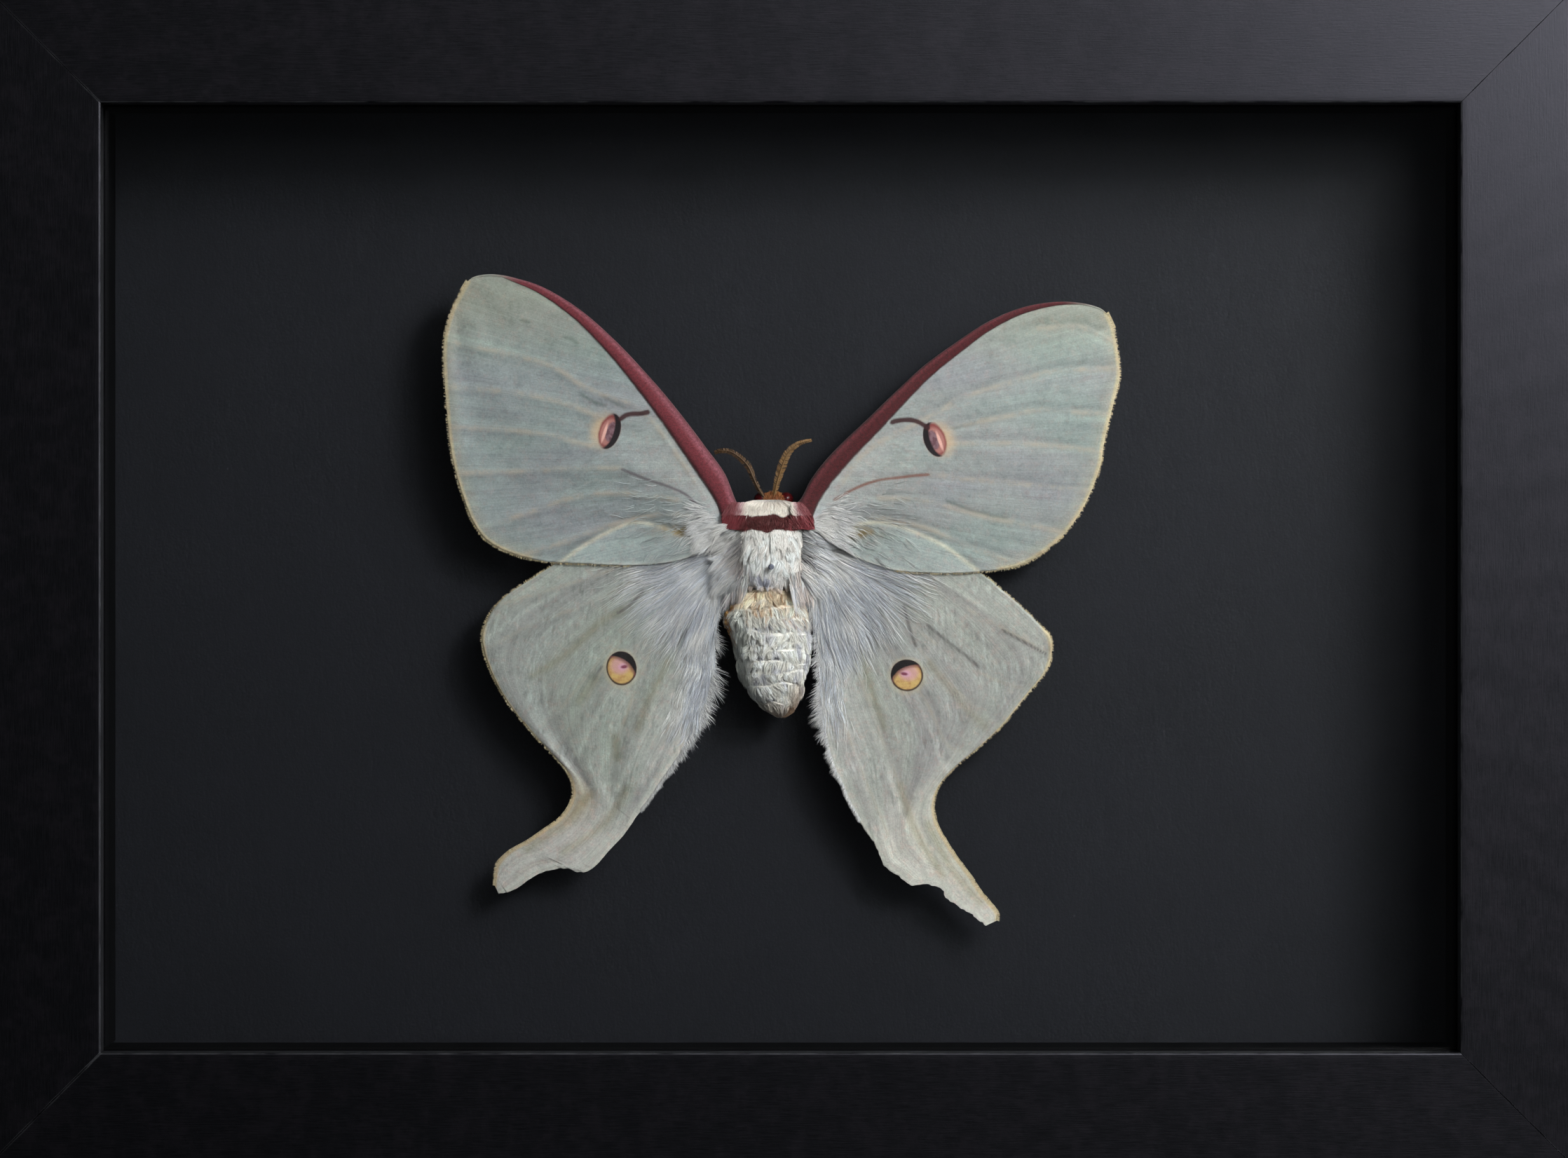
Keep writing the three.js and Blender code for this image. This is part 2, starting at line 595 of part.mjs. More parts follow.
function legShape(side, hipZ, kneeOut, toeZ) {
	const joints = [
		[hipOut, hipZ],
		[kneeOut, hipZ + 1.2],
		[kneeOut + 0.3, hipZ - 2],
		[kneeOut + 0.9, toeZ],
	].map(([out, z], count) => new THREE.Vector3(bodyShift + side * out, -legHeight[count], z));
	const line = new THREE.CatmullRomCurve3(joints);
	const leg = new THREE.CylinderGeometry(1, 1, 1, legSides, legSteps);
	const place = leg.attributes.position;
	const depthAxis = new THREE.Vector3(0, 1, 0);
	for (let i = 0; i < place.count; i++) {
		const along = 0.5 - place.getY(i);
		const forward = line.getTangent(along);
		const across = new THREE.Vector3().crossVectors(forward, depthAxis).normalize();
		const upward = new THREE.Vector3().crossVectors(across, forward);
		const span = Math.min(Math.floor(3 * along), 2);
		const girth = THREE.MathUtils.lerp(legGirth[span], legGirth[span + 1], 3 * along - span);
		const point = line.getPoint(along);
		point.addScaledVector(across, girth * place.getX(i));
		point.addScaledVector(upward, girth * place.getZ(i));
		place.setXYZ(i, point.x, point.y, point.z);
	}
	return leg;
}

function addMoth() {
	const hole = new THREE.CylinderGeometry(pinHole, pinHole, 4 * bodyHeight, 10);
	const thorax = solid(thoraxShape(0, woolRelief)).subtract(solid(hole)).subtract(headShape(fitGap));
	const thoraxSpace = solid(thoraxShape(fitGap + lockDepth, noRelief));
	const headSpace = headShape(fitGap);
	addPiece(moth, 'pin', pinShape(), materials.pin);
	addPiece(moth, 'thorax', geometryOf(thorax), materials.wool);
	addPiece(moth, 'head', geometryOf(headShape(0)), materials.head);
	addPiece(moth, 'abdomen', abdomenShape(), materials.abdomen);
	for (const [name, wing] of [['forewing_left', leftForewing], ['forewing_right', rightForewing]]) {
		const sheet = solid(forewingShape(wing)).subtract(thoraxSpace);
		addPiece(moth, name, geometryOf(sheet), materials.forewing);
	}
	for (const [name, wing] of [['hindwing_left', leftHindwing], ['hindwing_right', rightHindwing]]) {
		const sheet = solid(hindwingShape(wing)).subtract(thoraxSpace);
		addPiece(moth, name, geometryOf(sheet), materials.hindwing);
	}
	for (const [name, antenna] of [['antenna_left', leftAntenna], ['antenna_right', rightAntenna]]) {
		addPiece(moth, name, geometryOf(solid(antennaShape(antenna)).subtract(headSpace)), materials.antenna);
	}
	const legs = [['front', 5.4, 5.4, 1.4], ['middle', 2.2, 6.4, -3.4], ['hind', -0.9, 6.2, -8.2]];
	for (const [pair, hipZ, kneeOut, toeZ] of legs) {
		for (const [name, side] of [['left', -1], ['right', 1]]) {
			const leg = solid(legShape(side, hipZ, kneeOut, toeZ)).subtract(thoraxSpace);
			addPiece(moth, `leg_${pair}_${name}`, geometryOf(leg), materials.leg);
		}
	}
}

addRails();
addGlass();
addSpacers();
addBacking();
addHanger();
addBumpers();
addMoth();

export default specimen;
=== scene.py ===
import math

import bpy
import bmesh
import numpy as np
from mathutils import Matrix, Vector, noise


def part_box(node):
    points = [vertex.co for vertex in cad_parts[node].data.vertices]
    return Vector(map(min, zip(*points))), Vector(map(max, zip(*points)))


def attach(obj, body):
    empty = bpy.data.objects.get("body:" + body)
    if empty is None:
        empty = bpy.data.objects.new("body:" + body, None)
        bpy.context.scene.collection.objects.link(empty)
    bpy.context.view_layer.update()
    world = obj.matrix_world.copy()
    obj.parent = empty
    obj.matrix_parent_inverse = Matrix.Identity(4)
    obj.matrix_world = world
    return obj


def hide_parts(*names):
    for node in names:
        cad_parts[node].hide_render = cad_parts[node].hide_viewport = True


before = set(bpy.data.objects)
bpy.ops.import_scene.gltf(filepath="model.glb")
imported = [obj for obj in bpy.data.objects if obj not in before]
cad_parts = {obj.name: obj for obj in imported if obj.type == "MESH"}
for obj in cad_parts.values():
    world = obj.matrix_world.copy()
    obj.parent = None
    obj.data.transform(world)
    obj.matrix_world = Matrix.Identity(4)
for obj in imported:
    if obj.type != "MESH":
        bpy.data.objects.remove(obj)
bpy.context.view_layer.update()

mm = 0.001
scene = bpy.context.scene
scene.view_settings.view_transform = "Standard"

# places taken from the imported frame
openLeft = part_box("rail_left")[1][0]
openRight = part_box("rail_right")[0][0]
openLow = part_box("rail_bottom")[1][2]
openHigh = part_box("rail_top")[0][2]
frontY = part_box("rail_top")[0][1]
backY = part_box("rail_top")[1][1]
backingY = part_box("backing_board")[0][1]
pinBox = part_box("pin")
pinX = (pinBox[0][0] + pinBox[1][0]) / 2
pinZ = (pinBox[0][2] + pinBox[1][2]) / 2
midX = (openLeft + openRight) / 2
midZ = (openLow + openHigh) / 2


# small tools

def paint(red, green, blue):  # screen colour 0 to 255 as linear light
    return tuple((c / 255) ** 2.2 for c in (red, green, blue))


def mothPoints(points):  # x, z and height in mm from the pin and off the backing, to metres in the frame
    x, z, height = np.asarray(points, float).T
    return np.stack([pinX + x * mm, backingY - height * mm, pinZ + z * mm], axis=-1)


def splineAt(points, t):  # smooth curve through points, t from 0 to 1
    points = np.asarray(points, float)
    last = len(points) - 1
    place = np.clip(t, 0, 1) * last
    i = np.minimum(place.astype(int), last - 1)
    f = (place - i)[:, None]
    p0, p1 = points[np.maximum(i - 1, 0)], points[i]
    p2, p3 = points[i + 1], points[np.minimum(i + 2, last)]
    return 0.5 * (2 * p1 + (p2 - p0) * f + (2 * p0 - 5 * p1 + 4 * p2 - p3) * f ** 2
                  + (3 * p1 - p0 - 3 * p2 + p3) * f ** 3)


def curve(points, count):
    return splineAt(points, np.linspace(0, 1, count))


def nearestOn(flat, line):  # distance to a line and which side of it, for points in one plane
    best = np.full(len(flat), 1e9)
    side = np.ones(len(flat))
    for a, b in zip(line[:-1], line[1:]):
        run = b - a
        share = np.clip(((flat - a) @ run) / max(run @ run, 1e-9), 0, 1)
        off = flat - a - share[:, None] * run
        gap = np.hypot(off[:, 0], off[:, 1])
        near = gap < best
        best[near] = gap[near]
        side[near] = np.sign(run[0] * off[near, 1] - run[1] * off[near, 0])
    return best, side


def smooth(low, high, value):
    t = np.clip((value - low) / (high - low), 0, 1)
    return t * t * (3 - 2 * t)


def tint(base, colour, amount):
    return base + (np.asarray(colour) - base) * np.reshape(amount, (-1, 1))


def fill(colour, count):  # one row of colour for each point
    return np.tile(np.array(colour), (count, 1))


def unit(vectors):
    return vectors / np.maximum(np.linalg.norm(vectors, axis=1), 1e-9)[:, None]


def turned(way, turn):  # directions in the plane of the wings, turned by an angle each
    cos, sin = np.cos(turn), np.sin(turn)
    return np.c_[way[:, 0] * cos - way[:, 1] * sin, way[:, 0] * sin + way[:, 1] * cos]


def wobble(t, seed, waves):  # ragged line between -1 and 1 made of a few sine waves
    rng = np.random.default_rng(seed)
    total = np.zeros_like(t)
    for wave in waves:
        total += np.sin(t * wave * 2 * np.pi + rng.uniform(0, 6.28)) * rng.uniform(0.5, 1)
    return total / len(waves)


def noiseAt(points, scale, seed=0):
    shift = Vector((seed * 7.3, seed * 3.1, seed * 5.7))
    return np.array([noise.noise(Vector(p) * scale + shift) for p in points])


def gridFaces(rows, cols, wrap=False):
    faces = []
    for start in range(0, (rows - 1) * cols, cols):
        for c in range(cols if wrap else cols - 1):
            n = (c + 1) % cols
            faces.append((start + c, start + n, start + cols + n, start + cols + c))
    return faces


def aroundTurns(count):  # angles round a closed ring
    return np.linspace(-math.pi, math.pi, count, endpoint=False)


def aroundBody(rng, spread, count):  # random angles, most of them facing the viewer
    return (rng.normal(0, spread, count) + math.pi) % (2 * math.pi) - math.pi


def lying(places, way, length, rise):  # places moved along their directions and up
    return places + np.c_[way * length[:, None], rise]


def closedFaces(rings, around):  # a tube of rings with both ends capped
    count = rings * around
    caps = [tuple(range(around)), tuple(range(count - 1, count - around - 1, -1))]
    return gridFaces(rings, around, wrap=True) + caps


def makePiece(name, points, faces, material, replaced=(), closed=True, rounded=True):
    mesh = bpy.data.meshes.new(name)
    mesh.from_pydata(np.asarray(points).tolist(), [], faces)
    if closed:
        work = bmesh.new()
        work.from_mesh(mesh)
        bmesh.ops.recalc_face_normals(work, faces=work.faces)
        work.to_mesh(mesh)
        work.free()
    mesh.polygons.foreach_set("use_smooth", [rounded] * len(mesh.polygons))
    mesh.materials.append(material)
    piece = bpy.data.objects.new(name, mesh)
    scene.collection.objects.link(piece)
    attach(piece, "root")
    if replaced:
        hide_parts(*replaced)
    return piece


def addNumbers(piece, name, values):
    layer = piece.data.attributes.new(name, "FLOAT", "POINT")
    layer.data.foreach_set("value", np.asarray(values, np.float32))


def addColours(piece, name, colours):
    layer = piece.data.attributes.new(name, "FLOAT_COLOR", "POINT")
    four = np.ones((len(colours), 4), np.float32)
    four[:, :3] = np.clip(colours, 0, 1)
    layer.data.foreach_set("color", four.ravel())


# node helpers: each returns an output socket

class Paper:
    def __init__(self, name, **shaderValues):
        self.material = bpy.data.materials.new(name)
        self.material.use_nodes = True
        self.tree = self.material.node_tree
        self.tree.nodes.clear()
        self.out = self.tree.nodes.new("ShaderNodeOutputMaterial")
        self.shader = self.tree.nodes.new("ShaderNodeBsdfPrincipled")
        self.tree.links.new(self.shader.outputs[0], self.out.inputs[0])
        for socket, value in shaderValues.items():
            self.shader.inputs[socket.replace("_", " ")].default_value = value

    def feed(self, socket, value):
        if isinstance(value, bpy.types.NodeSocket):
            self.tree.links.new(value, socket)
        elif value is not None:
            socket.default_value = value

    def value(self, name, output="Fac"):
        node = self.tree.nodes.new("ShaderNodeAttribute")
        node.attribute_name = name
        return node.outputs[output]

    def colour(self, name):
        return self.value(name, "Color")

    def place(self, scale=(1, 1, 1)):
        coords = self.tree.nodes.new("ShaderNodeTexCoord")
        mapping = self.tree.nodes.new("ShaderNodeMapping")
        mapping.inputs["Scale"].default_value = scale
        self.tree.links.new(coords.outputs["Object"], mapping.inputs["Vector"])
        return mapping.outputs[0]

    def calc(self, operation, a, b=None):
        node = self.tree.nodes.new("ShaderNodeMath")
        node.operation = operation
        self.feed(node.inputs[0], a)
        self.feed(node.inputs[1], b)
        return node.outputs[0]

    def times(self, a, b):
        return self.calc("MULTIPLY", a, b)

    def plus(self, a, b):
        return self.calc("ADD", a, b)

    def minus(self, a, b):
        return self.calc("SUBTRACT", a, b)

    def join(self, x, y, z=0.0):
        node = self.tree.nodes.new("ShaderNodeCombineXYZ")
        for socket, value in zip(node.inputs, (x, y, z)):
            self.feed(socket, value)
        return node.outputs[0]

    def noise(self, vector, scale, detail=3.0, rough=0.55, warp=0.0):
        node = self.tree.nodes.new("ShaderNodeTexNoise")
        self.feed(node.inputs["Vector"], vector)
        node.inputs["Scale"].default_value = scale
        node.inputs["Detail"].default_value = detail
        node.inputs["Roughness"].default_value = rough
        node.inputs["Distortion"].default_value = warp
        return node.outputs["Fac"]

    def fade(self, value, low, high, start=0.0, end=1.0):  # soft step from low to high
        node = self.tree.nodes.new("ShaderNodeMapRange")
        node.interpolation_type = "SMOOTHSTEP"
        for socket, part in zip(node.inputs, (value, low, high, start, end)):
            self.feed(socket, part)
        return node.outputs[0]

    def patches(self, scale, detail, low, high, start=0.0, end=1.0):  # soft blotches of noise
        return self.fade(self.noise(self.place(), scale, detail), low, high, start, end)

    def mix(self, amount, a, b, blend="MIX"):
        node = self.tree.nodes.new("ShaderNodeMix")
        node.data_type = "RGBA"
        node.blend_type = blend
        self.feed(node.inputs["Factor"], amount)
        for key, value in (("A", a), ("B", b)):
            socket = [s for s in node.inputs if s.name == key and s.type == "RGBA"][0]
            self.feed(socket, (*value, 1) if isinstance(value, tuple) else value)
        return [s for s in node.outputs if s.type == "RGBA"][0]

    def ramp(self, value, stops):
        node = self.tree.nodes.new("ShaderNodeValToRGB")
        self.feed(node.inputs[0], value)
        marks = node.color_ramp.elements
        while len(marks) < len(stops):
            marks.new(0.5)
        for mark, (place, colour) in zip(marks, stops):
            mark.position = place
            mark.color = (*colour, 1)
        return node.outputs[0]

    def bump(self, height, strength, distance):
        node = self.tree.nodes.new("ShaderNodeBump")
        node.inputs["Strength"].default_value = strength
        node.inputs["Distance"].default_value = distance
        self.feed(node.inputs["Height"], height)
        self.tree.links.new(node.outputs[0], self.shader.inputs["Normal"])

    def base(self, colour):
        self.feed(self.shader.inputs["Base Color"], colour)
        return self.material


def dressNode(nodeName, material):  # gives a carried-over piece its finish
    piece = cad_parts[nodeName]
    piece.data.materials.clear()
    piece.data.materials.append(material)


# frame rails

rail = {
    "paint": paint(13, 14, 15),
    "paintLight": paint(20, 21, 24),
    "paintDark": paint(9, 9, 10),
    "paintWarm": paint(30, 27, 31),
    "rub": paint(104, 106, 110),
    "lipRound": 0.32,      # mm, eased inner front edge
    "outerRound": 0.9,
    "slices": 90,
    "waver": 0.035,       # mm, hand-sanded unevenness
    "gap": 0.04,          # half of the mitre line, mm
    "mitreRub": {"top": (0.35, 0.0), "bottom": (0.9, 0.1), "left": (0.9, 0.5), "right": (0.1, 0.0)},
}


def railPaint():
    m = Paper("blackRailPaint", Roughness=0.4, Specular_Tint=(0.84, 0.84, 1.0, 1), Specular_IOR_Level=0.74)
    along = m.value("grainAlong")
    across = m.value("grainAcross")
    grain = m.noise(m.join(m.times(along, 0.35), m.times(across, 7.0)), 1.0, 5.0, 0.6)
    speck = m.noise(m.place(), 2600.0, 2.0)
    cloud = m.noise(m.place(), 60.0, 3.0)
    patchy = m.noise(m.place(), 420.0, 4.0, 0.65)
    colour = m.mix(m.fade(grain, 0.35, 0.75, 0.0, 0.5), rail["paint"], rail["paintLight"])
    colour = m.mix(m.fade(patchy, 0.42, 0.66, 0.0, 0.6), colour, rail["paintWarm"])
    colour = m.mix(m.fade(cloud, 0.4, 0.8, 0.0, 0.35), colour, rail["paintDark"])
    edge = m.times(m.value("edgeRub"), m.patches(320.0, 4.0, 0.3, 0.62))
    colour = m.mix(edge, colour, rail["rub"])
    rough = m.plus(m.fade(grain, 0.2, 0.8, 0.34, 0.44), m.times(patchy, 0.06))
    m.feed(m.shader.inputs["Roughness"], rough)
    m.bump(m.plus(m.times(grain, 0.8), m.times(speck, 0.35)), 0.16, 0.0001)
    return m.base(colour)


def openHalf(level):  # half of the opening, mm
    return ((openHigh - openLow) if level else (openRight - openLeft)) / 2 / mm


def roundedSection(width, depth, lip, rabbet):
    inner, outer = rail["lipRound"], rail["outerRound"]
    points = [(inner * (1 - math.cos(t)), inner * (1 - math.sin(t))) for t in np.linspace(0, math.pi / 2, 9)]
    for share in np.linspace(0.05, 0.93, 24):
        points.append((width * share, 0.0))
    for t in np.linspace(math.pi / 2, 0, 9):
        points.append((width - outer * (1 - math.cos(t)), outer * (1 - math.sin(t))))
    points += [(width, depth * 0.5), (width, depth - 0.2), (width - 0.2, depth)]
    points += [(rabbet + 0.2, depth), (rabbet, depth - 0.2), (rabbet, lip), (0.15, lip), (0.0, lip - 0.15)]
    return np.array(points)


def addRail(side, material):
    low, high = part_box("rail_" + side)
    level = side in ("top", "bottom")
    sign = 1 if side in ("top", "right") else -1
    width = (high[2] - low[2] if level else high[0] - low[0]) / mm
    half = openHalf(not level)
    lip = (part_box("glass")[0][1] - frontY) / mm - 0.3
    rabbet = (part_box("glass")[1][0] - openRight) / mm + 0.3
    section = roundedSection(width, (backY - frontY) / mm, lip, rabbet)
    close = np.array([0.0012, 0.0035, 0.008])       # extra slices beside the mitres
    slices = np.unique(np.concatenate([np.linspace(-1, 1, rail["slices"]), 1 - close, close - 1]))
    gap = rail["gap"] * (1 + 0.8 * np.sin(section[:, 0] * 1.7 + half) + 0.5 * np.sin(section[:, 0] * 4.3))
    points, along, across = [], [], []
    seed = {"top": 1, "bottom": 2, "left": 3, "right": 4}[side]
    for s in slices:
        reach = s * (half + section[:, 0] - np.maximum(gap, 0.01))
        uneven = rail["waver"] * wobble(np.array([s * 2 + 3]), seed, (1.3, 2.9, 5.7))[0] * (1 - s ** 6)
        depth = section[:, 1] + uneven * (section[:, 1] < lip)
        outward = section[:, 0]
        first = midX + reach * mm if level else midX + sign * (outward + openHalf(False)) * mm
        third = midZ + sign * (outward + openHalf(True)) * mm if level else midZ + reach * mm
        points.append(np.stack([first, frontY + depth * mm, third], axis=1))
        along.append(reach + seed * 300)
        across.append(outward + 0.7 * section[:, 1])
    faces = closedFaces(len(slices), len(section))
    piece = makePiece("painted_rail_" + side, np.concatenate(points), faces, material,
                      ["rail_" + side])
    for end in (-1, -2):
        piece.data.polygons[end].use_smooth = False
    addNumbers(piece, "grainAlong", np.concatenate(along))
    addNumbers(piece, "grainAcross", np.concatenate(across))
    onEdge = (section[:, 1] < rail["lipRound"] * 0.8) & ((section[:, 0] < rail["lipRound"] * 0.8)
                                                        | (section[:, 0] > width - rail["outerRound"] * 0.8))
    rub = np.tile(onEdge * 0.35, (len(slices), 1))
    first, last = rail["mitreRub"][side]
    fadeOut = np.exp(-section[:, 0] / 9.0) * (section[:, 1] < 0.3)
    for row, amount in ((0, first), (1, first * 0.8), (-1, last), (-2, last * 0.8)):
        rub[row] = np.maximum(rub[row], amount * fadeOut)
    addNumbers(piece, "edgeRub", rub.ravel())
    piece.data.set_sharp_from_angle(angle=math.radians(40))


railMaterial = railPaint()
for side in ("top", "bottom", "left", "right"):
    addRail(side, railMaterial)
print("rails done")


# glass, spacers, backing and the hardware behind

plain = {
    "glass": (0.97, 0.99, 0.98, 1),
    "glassShadow": (0.93, 0.95, 0.94, 1),
    "card": (paint(13, 13, 15), paint(20, 20, 23), 0.95, 0.04),      # dark, light, roughness, gloss
    "backing": (paint(24, 25, 31), paint(36, 37, 46), 0.62, 0.26),
    "lint": paint(96, 98, 104),
    "board": [(0.3, paint(104, 76, 50)), (0.5, paint(140, 106, 72)), (0.72, paint(170, 134, 96))],
    "boardStain": paint(116, 86, 58),
    "steel": (paint(196, 198, 202), paint(150, 148, 142)),
    "rubber": (paint(38, 38, 41), paint(54, 54, 58)),
    "pin": (paint(92, 94, 108), paint(120, 122, 136)),
}


def glassPane():
    m = Paper("clearPane", Base_Color=plain["glass"], Roughness=0.0, IOR=1.5, Transmission_Weight=1.0)
    clear = m.tree.nodes.new("ShaderNodeBsdfTransparent")
    clear.inputs[0].default_value = plain["glassShadow"]
    path = m.tree.nodes.new("ShaderNodeLightPath")
    both = m.tree.nodes.new("ShaderNodeMixShader")
    m.tree.links.new(path.outputs["Is Shadow Ray"], both.inputs[0])
    m.tree.links.new(m.shader.outputs[0], both.inputs[1])
    m.tree.links.new(clear.outputs[0], both.inputs[2])
    m.tree.links.new(both.outputs[0], m.out.inputs[0])
    return m.material


def blackPaper(name, colour, light, roughness, gloss):
    m = Paper(name, Roughness=roughness, Specular_IOR_Level=gloss)
    tooth = m.noise(m.place(), 3200.0, 4.0, 0.65)
    fibre = m.noise(m.place((1, 1, 0.4)), 900.0, 4.0, 0.6, 0.6)
    cloud = m.noise(m.place(), 38.0, 2.0)
    mixed = m.mix(m.fade(tooth, 0.3, 0.8, 0.0, 0.55), colour, light)
    mixed = m.mix(m.fade(cloud, 0.35, 0.7, 0.0, 0.3), mixed, tuple(c * 0.8 for c in colour))
    lint = m.patches(620.0, 1.0, 0.835, 0.86, 0.0, 0.5)
    mixed = m.mix(lint, mixed, plain["lint"])
    m.bump(m.plus(m.times(tooth, 0.5), m.times(fibre, 0.6)), 0.5, 0.00012)
    return m.base(mixed)


def fibreboard():
    m = Paper("brownFibreboard", Roughness=0.85, Specular_IOR_Level=0.2)
    fleck = m.noise(m.place(), 700.0, 5.0, 0.7, 0.4)
    cloud = m.noise(m.place(), 45.0, 3.0)
    colour = m.ramp(fleck, plain["board"])
    colour = m.mix(m.fade(cloud, 0.35, 0.75, 0.0, 0.4), colour, plain["boardStain"])
    m.bump(fleck, 0.4, 0.00015)
    return m.base(colour)


def stampedSteel():
    m = Paper("stampedSteel", Metallic=1.0, Roughness=0.32)
    brush = m.noise(m.place((1, 1, 14)), 500.0, 4.0)
    stain = m.noise(m.place(), 260.0, 3.0)
    colour = m.mix(m.fade(stain, 0.4, 0.75, 0.0, 0.5), *plain["steel"])
    m.feed(m.shader.inputs["Roughness"], m.fade(brush, 0.3, 0.7, 0.24, 0.42))
    m.bump(brush, 0.15, 0.00005)
    return m.base(colour)


def bumperRubber():
    m = Paper("softRubber", Roughness=0.7)
    speck = m.noise(m.place(), 1800.0, 3.0)
    m.bump(speck, 0.25, 0.00008)
    return m.base(m.mix(m.fade(speck, 0.4, 0.7, 0.0, 0.5), *plain["rubber"]))


def pinEnamel():
    m = Paper("blackEnamel", Roughness=0.3)
    speck = m.noise(m.place(), 4000.0, 2.0)
    return m.base(m.mix(speck, *plain["pin"]))


steel = stampedSteel()
rubber = bumperRubber()
card = blackPaper("mattBlackCard", *plain["card"])
dressNode("glass", glassPane())
dressNode("backing_board", blackPaper("blackBackingPaper", *plain["backing"]))
dressNode("back_panel", fibreboard())
dressNode("pin", pinEnamel())
for side in ("top", "bottom", "left", "right"):
    dressNode("spacer_" + side, card)
for nodeName in [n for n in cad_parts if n.startswith(("point_", "hanger"))]:
    dressNode(nodeName, steel)
for nodeName in ("bumper_left", "bumper_right"):
    dressNode(nodeName, rubber)
print("glass, backing and hardware done")


# wings: each station is front x, front z, rear x, rear z in mm from the pin

leftForewing = {
    "stations": [
        (-2.6, 7.2, -3.2, 4.6), (-4.2, 7.9, -5.6, 4.9), (-5.9, 11.9, -8.5, 2.2), (-8.2, 15.1, -12.6, 0.7),
        (-10.9, 18.7, -18, 0.2), (-13.8, 22.3, -23.4, 0.4), (-17, 25.9, -28.8, 0.7),
        (-20.5, 29.5, -33.8, 1.9), (-24.7, 33.1, -37.4, 4.4), (-29.2, 35.8, -39.7, 9.7),
        (-32.9, 37, -41, 15.1), (-35.1, 37.4, -41.7, 22.3), (-36.7, 37.4, -41.9, 28.2),
        (-38.1, 37.1, -41.1, 32.2), (-38.9, 36.5, -39.5, 35.5),
    ],
    "veins": [
        [(-9, 9.7), (-12.6, 15.1), (-16.9, 20.2), (-23.3, 22.7), (-27.7, 25.5), (-32.9, 27.1), (-40.6, 28.7)],
        [(-22.5, 19.4), (-26.9, 21.1), (-31.8, 22.1), (-37, 22.7), (-40.9, 23)],
        [(-22.9, 15.4), (-27.4, 16.6), (-32.9, 17.5), (-40.7, 17.8)],
        [(-19.3, 12.6), (-24.9, 12.6), (-32.9, 12.2), (-40, 12)],
        [(-11.7, 8.5), (-18.9, 9.4), (-24.9, 9), (-31, 7), (-36.9, 5)],
        [(-9.9, 6.6), (-15.3, 6.6), (-21.6, 5), (-27.9, 2.7), (-32.4, 1.4)],
    ],
    "darkVein": [(-19.1, 12.5), (-16.2, 11.3), (-13.2, 10.3), (-11, 9.3), (-9.3, 7.7)],
    "stalk": [(-19.3, 18.9), (-18.6, 19.4), (-17.7, 19.6), (-16.8, 19.6), (-15.8, 19.8)],
    "strokes": [[(-24.3, 22.1), (-22.7, 21.1), (-21.2, 20.6)], [(-21.6, 22.0), (-20.2, 21.1), (-18.7, 20.3)],
                [(-26.5, 29.4), (-25.6, 29.2), (-24.8, 28.5)], [(-32.0, 31.5), (-31.6, 31.5), (-31.1, 31.3)]],
    "under": [(-27.9, -0.2), (-24.8, 2.2), (-22, 3.9), (-19.1, 5.3), (-17.3, 5.7), (-14.8, 5.3),
              (-11.2, 3.9)],
    "spot": {"x": -20.7, "z": 17.35, "wide": 1.3, "tall": 2.25, "lean": -18},
    "smudge": (-11.8, 4.7),
    "darkTone": paint(96, 84, 92),
    "vein": 4.9,          # mm, width of the thick front vein at the root
    "veinEnd": 0.8,       # share of the wing where it ends
    "lift": 0.3,          # mm, how far the front is arched
    "side": -1,           # left as the viewer sees it
    "field": paint(158, 166, 167),
    "overlap": paint(192, 203, 202),
    # the thick front vein's colours: the darkest is its edge line, its mottle and the painted shade at its
    # rear edge; the lightest is a painted highlight
    "ridgeDarkAndShade": paint(74, 24, 32),
    "ridgeNap": (paint(172, 108, 118), 0.5),
    "ridgeMiddle": paint(128, 48, 58),
    "ridgeHighlight": paint(158, 92, 104),
}

